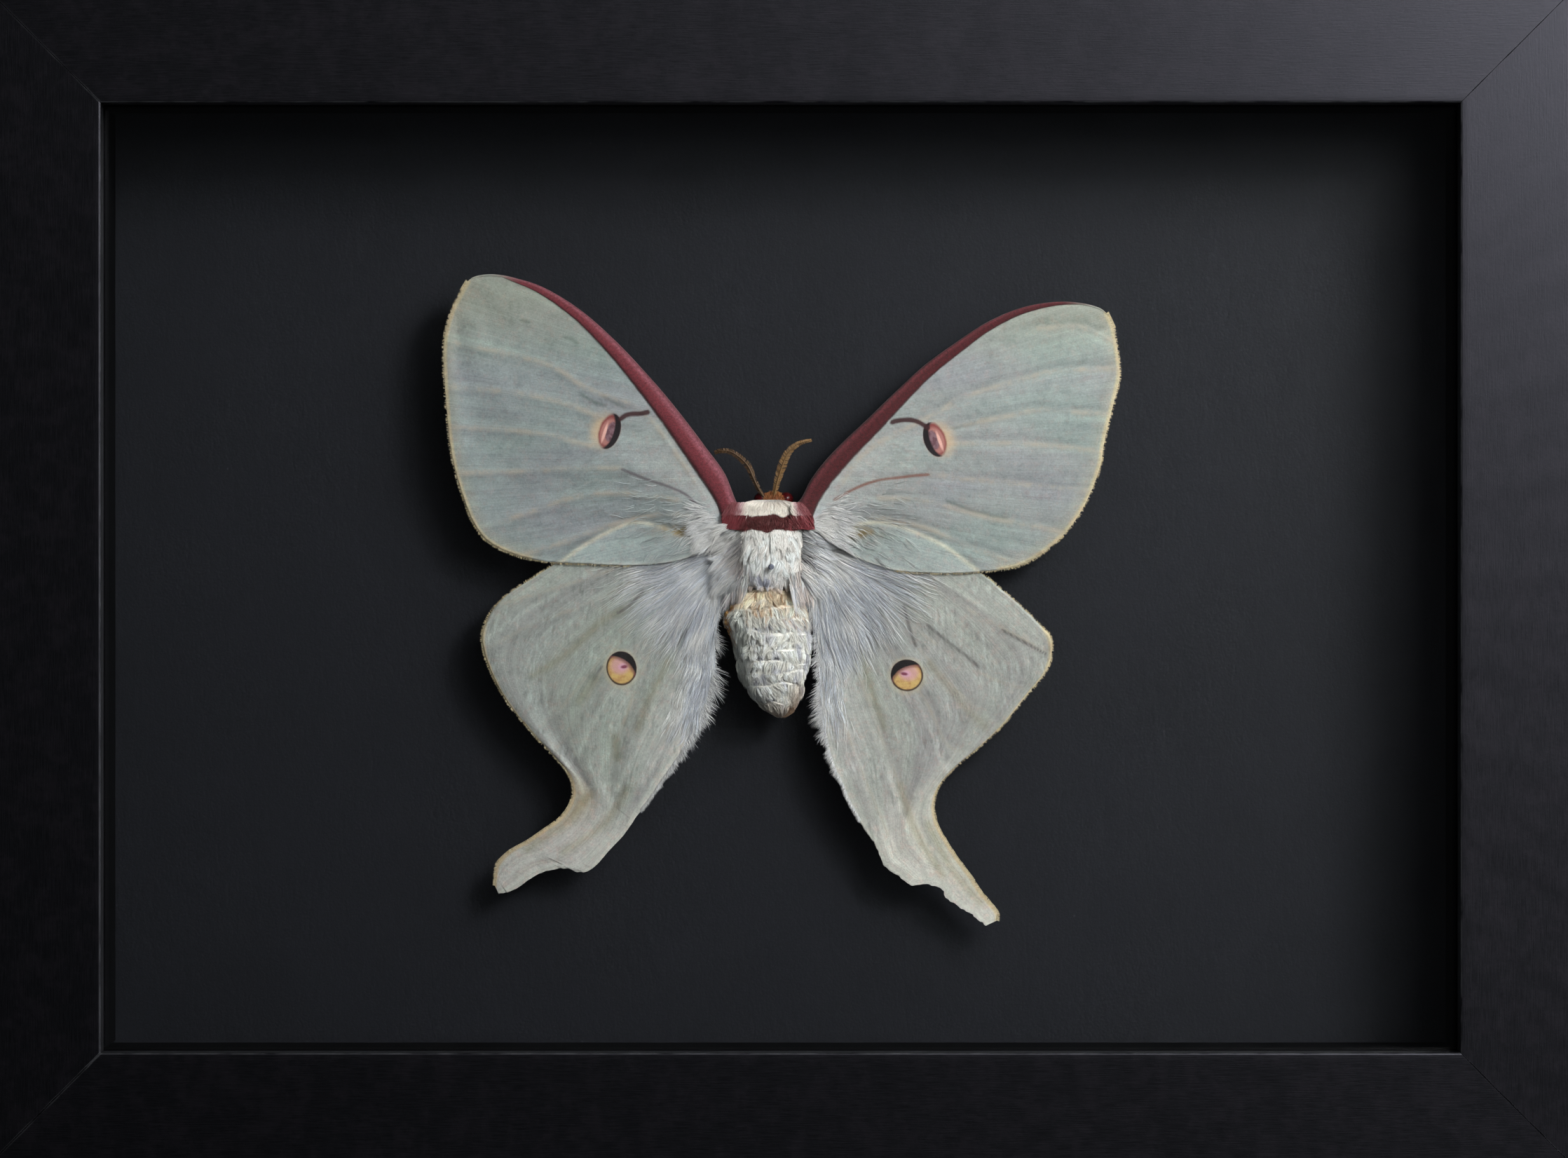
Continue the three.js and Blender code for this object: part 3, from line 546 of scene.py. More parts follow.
rightForewing = {
    "stations": [
        (2.4, 7.9, 3.2, 4.8), (3.7, 8.6, 5.1, 5), (5.1, 11.2, 7.6, 3.1), (7, 13.7, 11.2, 1.1),
        (9.4, 16.2, 15.8, -0.4), (12.3, 18.9, 21.1, -0.8), (15.8, 22.3, 27, -0.6), (19.6, 25.8, 32.2, 0.3),
        (23.6, 28.7, 36.4, 3.1), (27.6, 31.3, 39.6, 7), (31.8, 33.1, 41.9, 12.2), (36, 33.9, 42.8, 16.9),
        (39.4, 33.8, 44.1, 22.1), (41.9, 33.2, 44.6, 25.3), (43.0, 32.4, 43.8, 30.7),
    ],
    "veins": [
        [(9, 10.6), (12.6, 15.1), (21.6, 19.9), (23.7, 21.4), (27.3, 22.6), (31.8, 23.9), (36, 25),
         (44.5, 25.4)],
        [(22.8, 17.8), (25.8, 18.4), (30.3, 19.3), (34.8, 20.1), (43.6, 19.4)],
        [(22.8, 15.8), (31.8, 15.8), (37.8, 15.3), (42.8, 14.8)],
        [(20.4, 11.8), (24.3, 11.3), (28.8, 10.9), (34.8, 10.3), (41.4, 9.6)],
        [(13.8, 8.8), (19.8, 8.5), (24.3, 7.2), (28.8, 6.1), (34.8, 5), (38.7, 4)],
        [(9.9, 6.6), (14.4, 6.1), (19.8, 5), (25.2, 2.7), (30.6, 0.7)],
        [(33.3, 30.4), (36, 30.6), (39.9, 30.6), (44.1, 28.6)],
    ],
    "darkVein": [(8.1, 8.6), (11.1, 10.2), (13.8, 11.1), (16.2, 11.4), (18.6, 11.7), (20.1, 11.8)],
    "stalk": [(15.5, 18.5), (16.2, 18.7), (17.7, 18.8), (18.9, 18.5), (20, 17.8)],
    "strokes": [[(23.2, 17.7), (25.2, 18.2), (27.7, 18.9)], [(22.6, 8.4), (26.0, 7.1), (30.0, 6.2)]],
    "under": [(27.4, -1.3), (24.3, 1.2), (21.6, 3), (18, 4.6), (14.4, 5.7), (10.3, 5.4)],
    "spot": {"x": 20.95, "z": 16.3, "wide": 1.35, "tall": 2.2, "lean": 20},
    "smudge": (11.5, 4.4),
    "darkTone": paint(122, 72, 58),
    "vein": 3.8,
    "veinEnd": 0.92,
    "lift": 0.2,
    "side": 1,
    "field": paint(165, 168, 168),
    "overlap": paint(197, 206, 203),
    # the thick front vein's colours: the darkest is its edge line, its mottle and the painted shade at its
    # rear edge; the lightest is a painted highlight
    "ridgeDarkAndShade": paint(38, 10, 16),
    "ridgeMiddle": paint(84, 18, 28),
    "ridgeHighlight": paint(112, 48, 56),
    "ridgeNap": (paint(142, 74, 74), 0.4),
}

leftHindwing = {
    "stations": [
        (-3.6, 2.2, -3.6, -1.6), (-5.8, 3, -5.9, -2), (-9.9, 5.2, -7, -6.5), (-14.4, 5.7, -7.4, -10.5),
        (-19.8, 4.6, -7.8, -14.4), (-24.8, 2.1, -8.5, -17.5), (-29.7, -0.9, -9.5, -20),
        (-34.6, -4.3, -10.7, -22.5), (-37, -8.3, -12.1, -24.9), (-36.3, -12.5, -13.5, -26.9),
        (-33.8, -17.3, -14.8, -28.8),
        (-30.9, -20.9, -16, -30.5), (-27.9, -24.2, -17.2, -31.9), (-25.9, -26.6, -18, -33.1),
        (-25.4, -29.2, -19.1, -34.6), (-26.8, -31.9, -20.9, -36.5), (-29.7, -34.1, -22.5, -38.3),
        (-31.3, -35.2, -24.1, -39.2), (-32.6, -35.9, -26.3, -38.7), (-33.6, -36.5, -28.8, -39),
        (-34.6, -37.4, -30.9, -40), (-35.3, -38.5, -32.4, -41.1), (-35.4, -39.8, -34, -41.8),
        (-35.5, -40.9, -34.9, -41.9),
    ],
    "veins": [
        [(-12.6, 0.7), (-18, -6.5), (-23.4, -13.7), (-27.9, -19.1), (-30.9, -21.1)],
        [(-9.9, 0.7), (-14.4, -8.3), (-18, -17.3), (-20.7, -25.4), (-22.5, -30.8)],
        [(-12.6, 1.6), (-21.6, -3.8), (-30.6, -7.4), (-36.4, -10.5)],
        [(-9, -1.1), (-10.3, -10.1), (-12.6, -19.1), (-16.2, -27.2)],
        [(-15.3, 1.6), (-22.5, -1.1), (-29.7, -3.3), (-34.6, -4.7)],
        [(-11.2, 0.7), (-19.8, -10.1), (-24.3, -18.2), (-27.9, -24)],
    ],
    "marks": [
        [(-16.4, -3), (-18.4, -5.2), (-19.7, -5.9)],
        [(-21.7, -12.8), (-22.8, -14.4)],
        [(-10.8, -8), (-12.1, -10)],
    ],
    "lights": [
        [(-20, -15.5), (-22.3, -19.1), (-24.8, -24)],
        [(-27.5, -3.3), (-32, -6), (-36.5, -9.2)],
        [(-14.4, -15), (-16.2, -21), (-19.8, -28.5)],
        [(-9.5, -10), (-11.7, -18), (-16.5, -28)],
    ],
    "olive": [
        [(-13.3, -11.9), (-14.4, -14.6), (-15.8, -17.3), (-17.1, -20.9)],
        [(-20, -21.8), (-19.8, -24.5)],
        [(-19.2, -5.6), (-21.9, -7.1), (-25.2, -10.3), (-28.0, -12.4), (-30.6, -13.9)],
        [(-22.6, -14.3), (-24.6, -17.2)],
        [(-23, -29), (-26.5, -32.6), (-31.3, -36.2)],
        [(-18.5, -28.5), (-21.5, -33), (-26.5, -36.5)],
    ],
    "spot": {"x": -19.2, "z": -13, "wide": 1.95, "tall": 2.2, "lean": 8},
    "droop": 1.6,         # mm that the tail hangs down
    "curl": 0,            # mm that its end turns up
    "marginSilk": 0.9,    # length and amount of hair on the inner margin
    "side": -1,
    "field": paint(178, 181, 174),
    "tail": paint(224, 220, 214),
}

rightHindwing = {
    "stations": [
        (3.4, 1.6, 3.4, -1.7), (4.7, 2.1, 4.5, -2.2), (9, 5, 5.4, -5.6), (13.9, 5.7, 5.8, -8.7),
        (18.4, 4, 6, -11.9), (22.7, 1.7, 6.2, -15), (27, -0.9, 6.4, -18.2), (30.8, -4, 6.8, -21.1),
        (34, -7, 7.4, -24), (35.9, -9.4, 8.1, -26.1), (35.4, -13, 9, -27.9), (32.6, -16.6, 9.8, -29.9),
        (29.7, -20.2, 10.8, -31.7), (26.6, -23.1, 11.7, -33.3), (23.6, -25.6, 12.9, -35),
        (21.6, -27.9, 13.7, -36.4), (20.8, -30.3, 14.4, -38.2), (21.1, -32.6, 16.2, -39.6),
        (22.1, -34.6, 18, -40.8), (23.2, -36.4, 20, -40.7), (24.5, -38.2, 21.8, -41.3),
        (25.8, -40, 22.5, -42.5), (27, -41.8, 24.1, -43.6), (28.1, -43.1, 25.6, -44.5),
        (29, -44.3, 26.6, -45.3), (29, -45.3, 27.5, -46),
    ],
    "veins": [
        [(9.9, 0.7), (15.3, -5.6), (18.9, -8.3), (27, -13.7), (33.3, -15.9)],
        [(8.1, -0.2), (13.5, -8.3), (19.8, -17.3), (22.5, -22.7), (25.6, -24)],
        [(7.2, -1.1), (10.3, -11), (14.4, -22.7), (18, -31.7), (20.7, -38)],
        [(6.3, -3.8), (7.6, -13.7), (10.3, -22.7), (13.5, -30.8), (16.2, -37.1)],
        [(12.6, 1.6), (20.7, -2.9), (28.8, -7.4), (35.5, -11)],
        [(9, 0.7), (17.1, -8.3), (23.4, -15.5), (29.2, -20.4)],
    ],
    "marks": [
        [(17, -5), (17.8, -8.1), (18.5, -10.1)],
        [(29.6, -8.1), (35.3, -11.2)],
        [(19.9, -7.4), (24.6, -11.1), (26.6, -12.8)],
    ],
    "lights": [
        [(18.5, -16.5), (20.3, -20.5), (22.2, -26)],
        [(22.5, -2.2), (29, -6.4), (34.8, -10.2)],
        [(12.5, -16), (14.5, -24), (17.5, -34)],
        [(7.5, -10), (9, -18), (12.4, -29)],
    ],
    "olive": [
        [(11.5, -10), (12.6, -15), (14.4, -20.5)],
        [(20.3, -12.5), (24.5, -17.5), (27.5, -20.5)],
        [(16.5, -28), (18.5, -34), (22, -39.5)],
        [(20.2, -33), (23, -38.5), (26.8, -43)],
    ],
    "spot": {"x": 17.4, "z": -13.9, "wide": 2.1, "tall": 2.05, "lean": -8},
    "droop": 1.3,
    "curl": 1.1,
    "marginSilk": 0.25,
    "side": 1,
    "field": paint(182, 182, 176),
    "tail": paint(232, 227, 218),
}

membrane = {
    "thick": 0.14,       # mm
    "foreHeight": 6.8,
    "hindHeight": 5.6,
    "foreSteps": (210, 118),
    "hindSteps": (240, 96),
    "veinRise": 0.02,
    "crumple": 0.06,
    "frontColumns": 0.16,  # share of the columns that cover the thick front vein
}


def frontShares(across, along, chord, wing):  # crowds the columns on the thick front vein
    ridge = np.maximum(0.25, wing["vein"] * (1 - along / wing["veinEnd"]))[:, None]
    width = np.minimum(ridge, 0.7 * chord[:, None]) / chord[:, None]
    bend = membrane["frontColumns"]
    share = np.where(across < bend, across / bend * width, width + (across - bend) / (1 - bend) * (1 - width))
    return share, ridge


def sheetPiece(name, flat, top, bottom, rows, cols, material, nodeName):
    points = mothPoints(np.concatenate([np.c_[flat, top], np.c_[flat, bottom]]))
    count = rows * cols
    faces = gridFaces(rows, cols)
    faces += [tuple(i + count for i in face[::-1]) for face in faces]
    rim = [*range(cols), *range(2 * cols - 1, count, cols), *range(count - 2, count - cols - 1, -1),
           *range(count - 2 * cols, 0, -cols)]
    for a, b in zip(rim, rim[1:] + rim[:1]):
        faces.append((a, a + count, b + count, b))
    return makePiece(name, points, faces, material, [nodeName])


def veinFields(flat, veins):  # distance to the nearest vein and the side that it is on
    gap = np.full(len(flat), 1e9)
    side = np.ones(len(flat))
    for vein in veins:
        near, hand = nearestOn(flat, curve(vein, 26))
        closer = near < gap
        gap[closer] = near[closer]
        side[closer] = hand[closer]
    return gap, side


def leastGap(flat, lines, steps):  # distance to the nearest of some lines
    return np.min([nearestOn(flat, curve(line, steps))[0] for line in lines], axis=0)


def dyed(base, layers):  # each layer: a colour, or a factor on the colour below it, and its share
    for colour, share in layers:
        if not isinstance(colour, (tuple, np.ndarray)):
            colour = np.minimum(base * colour, 1)
        base = tint(base, colour, share)
    return base


def bell(gap, width):  # 1 on a line, fading to each side of it
    return np.exp(-(gap / width) ** 2)


def wingCommon(piece, flat, values):
    addNumbers(piece, "mothX", np.tile(flat[:, 0], 2))
    addNumbers(piece, "mothZ", np.tile(flat[:, 1], 2))
    for name, value in values.items():
        addNumbers(piece, name, np.tile(value, 2))


def spotRadius(m, spot, grow=(1.0, 1.0), shift=(0.0, 0.0)):  # 1 on the edge of an oval
    turn = math.radians(spot["lean"])
    dx = m.minus(m.value("mothX"), spot["x"] + shift[0])
    dz = m.minus(m.value("mothZ"), spot["z"] + shift[1])
    x = m.plus(m.times(dx, math.cos(turn)), m.times(dz, math.sin(turn)))
    z = m.minus(m.times(dz, math.cos(turn)), m.times(dx, math.sin(turn)))
    x = m.calc("DIVIDE", x, spot["wide"] * grow[0])
    z = m.calc("DIVIDE", z, spot["tall"] * grow[1])
    return m.calc("SQRT", m.plus(m.times(x, x), m.times(z, z)))


wingGrain = {  # each layer: grain, soft edge from and to, strength, what it multiplies the colour by
    "dust": [
        ("flecks", 0.5, 0.7, 0.75, (0.84, 0.86, 0.86)),
        ("flecks", 0.5, 0.3, 0.7, (1.12, 1.12, 1.11)),
        ("powder", 0.32, 0.66, 0.55, (0.74, 0.74, 0.73)),
        ("patch", 0.42, 0.66, 0.6, (0.84, 0.86, 0.84)),
        ("rosy", 0.5, 0.68, 0.8, (1.1, 0.97, 0.95)),
    ],
    "streaks": [
        ("wide", 0.38, 0.64, 1.0, (0.8, 0.77, 0.8)),
        ("wide", 0.58, 0.36, 0.7, (0.97, 1.03, 1.02)),
        ("fine", 0.38, 0.62, 1.0, (0.83, 0.82, 0.83)),
        ("hair", 0.35, 0.62, 1.0, (0.8, 0.79, 0.8)),
        ("hair", 0.6, 0.78, 0.8, (1.22, 1.2, 1.2)),
    ],
    # what the painted highlight and the painted shade of the small wrinkles multiply the colour by
    "creaseHighlight": (1.2, 1.23, 1.26),
    "creaseShade": (0.76, 0.78, 0.78),
}


def shaded(m, amount, colour, by):
    return m.mix(amount, colour, m.mix(1.0, colour, by, "MULTIPLY"))


def layered(m, colour, grains, layers, strength=1.0):
    for grain, low, high, amount, by in layers:
        colour = shaded(m, m.fade(grains[grain], low, high, 0.0, amount * strength), colour, by)
    return colour


def scaleDust(m, colour):  # powder of fine scales over a wing
    grains = {
        "powder": m.noise(m.place(), 4200.0, 4.0, 0.75),
        "patch": m.noise(m.place(), 420.0, 5.0, 0.65),
        "rosy": m.noise(m.place(), 1300.0, 3.0, 0.6, 0.3),
        "flecks": m.noise(m.place(), 1050.0, 3.0, 0.7),
    }
    return layered(m, colour, grains, wingGrain["dust"]), grains["powder"]


def streaks(m, colour, strength):  # rays that run with the veins, from broad to hair fine
    ray, reach = m.value("ray"), m.value("reach")
    grains = {
        "wide": m.noise(m.join(ray, m.times(reach, 0.7)), 1.0, 3.0, 0.5),
        "fine": m.noise(m.join(m.times(ray, 5.0), reach, 3.0), 1.0, 4.0, 0.6, 0.4),
        "hair": m.noise(m.join(m.times(ray, 19.0), m.times(reach, 1.8), 7.0), 1.0, 3.0, 0.6, 0.5),
    }
    relief = m.plus(m.times(grains["fine"], 0.6), m.times(grains["hair"], 0.6))
    return layered(m, colour, grains, wingGrain["streaks"], strength), relief


def creases(m, colour, turn, strength):  # painted highlights and painted shade of short wrinkles between the veins
    x, z = m.value("mothX"), m.value("mothZ")
    across = m.plus(m.times(x, math.cos(turn)), m.times(z, math.sin(turn)))
    along = m.minus(m.times(z, math.cos(turn)), m.times(x, math.sin(turn)))
    lines = m.noise(m.join(m.times(across, 2.3), m.times(along, 0.5)), 1.0, 2.0, 0.5, 0.25)
    where = m.fade(m.noise(m.join(x, z, 5.0), 0.3, 2.0), 0.46, 0.58, 0.1, 1.0)
    where = m.times(where, m.fade(m.value("reach"), 1.15, 1.4, 1.0, 0.25))
    light = m.times(m.fade(lines, 0.53, 0.66, 0.0, strength), where)
    dark = m.times(m.fade(lines, 0.47, 0.35, 0.0, strength), where)
    # the light lines are painted highlight, the dark ones painted shade
    colour = shaded(m, light, colour, wingGrain["creaseHighlight"])
    return shaded(m, dark, colour, wingGrain["creaseShade"])


# eyespots: each layer is its size, shift to the tip and up, soft edge, strength, raggedness and colour
forewingLook = {
    "streaks": 0.4, "creaseTurn": 1.2, "creases": 0.4,
    "vein": {"reach": 0.72, "strength": 0.62, "noise": (420.0, 4.0, 0.7), "breaks": (0.38, 0.6, 0.12),
             "tone": paint(184, 168, 152)},
    "mark": (0.1, 0.4, 0.8),
    "stalk": (0.24, 0.54, 0.95),
    "stalkTone": paint(62, 28, 32),
    "spotRim": [
        ((1.75, 1.35), (0.75, 0.0), (0.45, 1.2), 0.7225, 1.0, paint(206, 172, 136)),
        ((1.04, 1.04), (0.0, 0.0), (0.9, 1.16), 1.0, 0.4, paint(132, 66, 64)),
        ((0.86, 0.84), (0.1, -0.1), (0.78, 1.08), 0.9, 0.0, paint(176, 118, 112)),
    ],
    "window": [paint(92, 62, 74), paint(124, 98, 108)],
    "spotGlint": [((0.17, 0.62), (0.62, -0.2), (0.5, 1.25), 0.9, 0.0, paint(232, 178, 166))],
    "crescent": paint(28, 18, 24),
}

hindwingLook = {
    "streaks": 0.55, "creaseTurn": 0.15, "creases": 0.8,
    "vein": {"reach": 0.5, "strength": 0.5, "noise": (300.0, 3.0, 0.55), "breaks": (0.4, 0.62, 0.1),
             "tone": paint(176, 162, 144)},
    "mark": (0.1, 0.42, 0.75),
    "markTone": paint(92, 86, 88),
    "spotRim": [
        ((1.35, 1.35), (0.0, -0.1), (0.7, 1.0), 0.5, 0.0, paint(188, 174, 146)),
        ((1.0, 1.0), (0.0, 0.0), (0.98, 1.07), 1.0, 0.4, paint(66, 48, 40)),
    ],
    "yolk": [paint(206, 170, 108), paint(184, 138, 88)],
    "spotGlow": [
        ((0.8, 0.66), (0.15, 0.35), (0.5, 1.0), 0.85, 0.0, paint(208, 158, 158)),
        ((0.42, 0.3), (-0.1, 0.2), (0.3, 1.0), 0.85, 0.0, paint(214, 160, 186)),
    ],
    "shade": paint(116, 66, 70),
    "crescent": paint(24, 18, 22),
    "spotDot": [((0.28, 0.13), (-0.35, 0.2), (0.4, 1.15), 0.9, 0.0, paint(112, 36, 62))],
}


def spotLayers(m, colour, wing, layers, ragged):
    for size, shift, edge, strength, rough, tone in layers:
        radius = spotRadius(m, wing["spot"], size, (shift[0] * wing["side"], shift[1]))
        if rough:
            radius = m.plus(radius, m.times(ragged, rough))
        colour = m.mix(m.fade(radius, *edge, strength, 0.0), colour, tone)
    return colour


def wingGround(name, wing, look, roughness):  # streaks, creases, dust, veins and dark marks
    m = Paper(name, Roughness=roughness, Specular_IOR_Level=0.3, Sheen_Weight=0.25)
    colour, fine = streaks(m, m.colour("tint"), look["streaks"])
    colour = creases(m, colour, look["creaseTurn"] * wing["side"], look["creases"])
    colour, dust = scaleDust(m, colour)
    jitter = m.times(m.noise(m.place(), 900.0, 2.0), 0.16)
    vein = look["vein"]
    line = m.fade(m.plus(m.value("veinGap"), jitter), 0.0, vein["reach"], vein["strength"], 0.0)
    broken = m.fade(m.noise(m.place(), *vein["noise"]), *vein["breaks"], 1.0)
    line = m.times(m.times(line, broken), m.value("veinShow"))
    colour = m.mix(line, colour, vein["tone"])
    marks = m.fade(m.plus(m.value("darkGap"), jitter), *look["mark"], 0.0)
    colour = m.mix(marks, colour, wing.get("darkTone", look.get("markTone")))
    return m, colour, fine, dust, jitter


def forewingScales(name, wing):
    look = forewingLook
    m, colour, fine, dust, jitter = wingGround(name, wing, look, 0.72)
    spot, side = wing["spot"], wing["side"]
    ragged = m.times(m.noise(m.place(), 1500.0, 2.0), 0.3)
    colour = spotLayers(m, colour, wing, look["spotRim"], ragged)
    window = m.fade(spotRadius(m, spot, (0.5, 0.62), (-0.2 * side, -0.05)), 0.8, 1.1, 0.9, 0.0)
    colour = m.mix(window, colour, m.mix(m.patches(2600.0, 2.0, 0.4, 0.62), *look["window"]))
    colour = spotLayers(m, colour, wing, look["spotGlint"], ragged)
    cover = m.fade(spotRadius(m, spot, (1.0, 1.1), (0.72 * side, 0.16)), 0.9, 1.1)
    inside = m.fade(spotRadius(m, spot, (1.04, 1.04)), 0.95, 1.05, 1.0, 0.0)
    colour = m.mix(m.times(cover, inside), colour, look["crescent"])
    stalk = m.fade(m.plus(m.value("stalkGap"), jitter), *look["stalk"], 0.0)
    colour = m.mix(stalk, colour, look["stalkTone"])

    onRidge = m.value("ridge")       # the velvet of the thick front vein, with a painted highlight and painted shade across it
    place = m.join(m.value("mothX"), m.value("mothZ"))
    mottle = m.noise(place, 3.0, 5.0, 0.75)
    velvet = m.noise(place, 11.0, 3.0, 0.7)
    dark, middle, light = wing["ridgeDarkAndShade"], wing["ridgeMiddle"], wing["ridgeHighlight"]
    # across the vein: a dark front edge line, a painted highlight just behind it, the vein's own maroon, then
    # painted shade at its rear edge
    shade = m.ramp(onRidge, [(0.0, dark), (0.2, light), (0.45, middle), (0.8, middle), (1.0, dark)])
    shade = m.mix(m.fade(mottle, 0.36, 0.66, 0.0, 0.7), shade, dark)
    nap, napShare = wing["ridgeNap"]
    shade = m.mix(m.fade(velvet, 0.5, 0.75, 0.0, napShare), shade, nap)
    inRidge = m.fade(m.plus(onRidge, m.times(jitter, 0.5)), 0.98, 1.1, 1.0, 0.0)
    colour = m.mix(m.times(inRidge, m.value("ridgeShow")), colour, shade)
    pile = m.times(m.times(velvet, 1.6), inRidge)
    m.bump(m.plus(m.plus(m.times(dust, 0.6), m.times(fine, 0.5)), pile), 0.5, 0.00012)
    return m.base(colour)


def hindwingScales(name, wing):
    look = hindwingLook
    m, colour, fine, dust, jitter = wingGround(name, wing, look, 0.74)
    spot, side = wing["spot"], wing["side"]
    colour = spotLayers(m, colour, wing, look["spotRim"], jitter)
    yolk = m.mix(m.patches(1700.0, 3.0, 0.4, 0.7), *look["yolk"])
    colour = m.mix(m.fade(spotRadius(m, spot), 0.82, 0.94, 1.0, 0.0), colour, yolk)
    colour = spotLayers(m, colour, wing, look["spotGlow"], jitter)
    uneven = m.plus(spotRadius(m, spot), m.times(jitter, 0.4))
    inside = m.fade(uneven, 0.98, 1.05, 1.0, 0.0)
    chord = m.plus(spotRadius(m, spot, (1.8, 1.6), (1.4 * side, -1.85)), m.times(jitter, 0.3))
    shade = m.fade(chord, 0.84, 0.97, 0.0, 0.75)
    colour = m.mix(m.times(shade, inside), colour, look["shade"])
    colour = m.mix(m.times(m.fade(chord, 0.96, 1.03), inside), colour, look["crescent"])
    colour = spotLayers(m, colour, wing, look["spotDot"], jitter)
    m.bump(m.plus(m.times(dust, 0.6), m.times(fine, 0.6)), 0.5, 0.00012)
    return m.base(colour)


wingDye = {
    "lilac": paint(158, 158, 166), "sea": paint(153, 168, 164), "apex": paint(176, 176, 154),
    "root": paint(206, 208, 212), "nearFront": paint(190, 190, 187), "rearEdge": paint(220, 218, 210),
    "under": paint(222, 214, 194), "edge": paint(226, 202, 158), "inEdge": paint(186, 180, 162),
    "smudge": paint(152, 130, 88),
    "hindRoot": paint(206, 209, 219), "hindInner": paint(228, 226, 222), "hindStain": paint(190, 172, 132),
    "hindMargin": paint(240, 236, 226), "hindEdge": paint(224, 200, 158),
}


def wingEdges(wing, along):
    stations = np.array(wing["stations"], float)
    return splineAt(stations[:, :2], along), splineAt(stations[:, 2:], along)


def worn(edge, along, depth, seed, waves):
    return edge + (depth * wobble(along, seed, waves))[:, None]


def veinRelief(gap):  # a raised vein with a shallow furrow beside it
    return membrane["veinRise"] * (bell(gap, 0.22) - 0.7 * bell(gap - 0.55, 0.35))


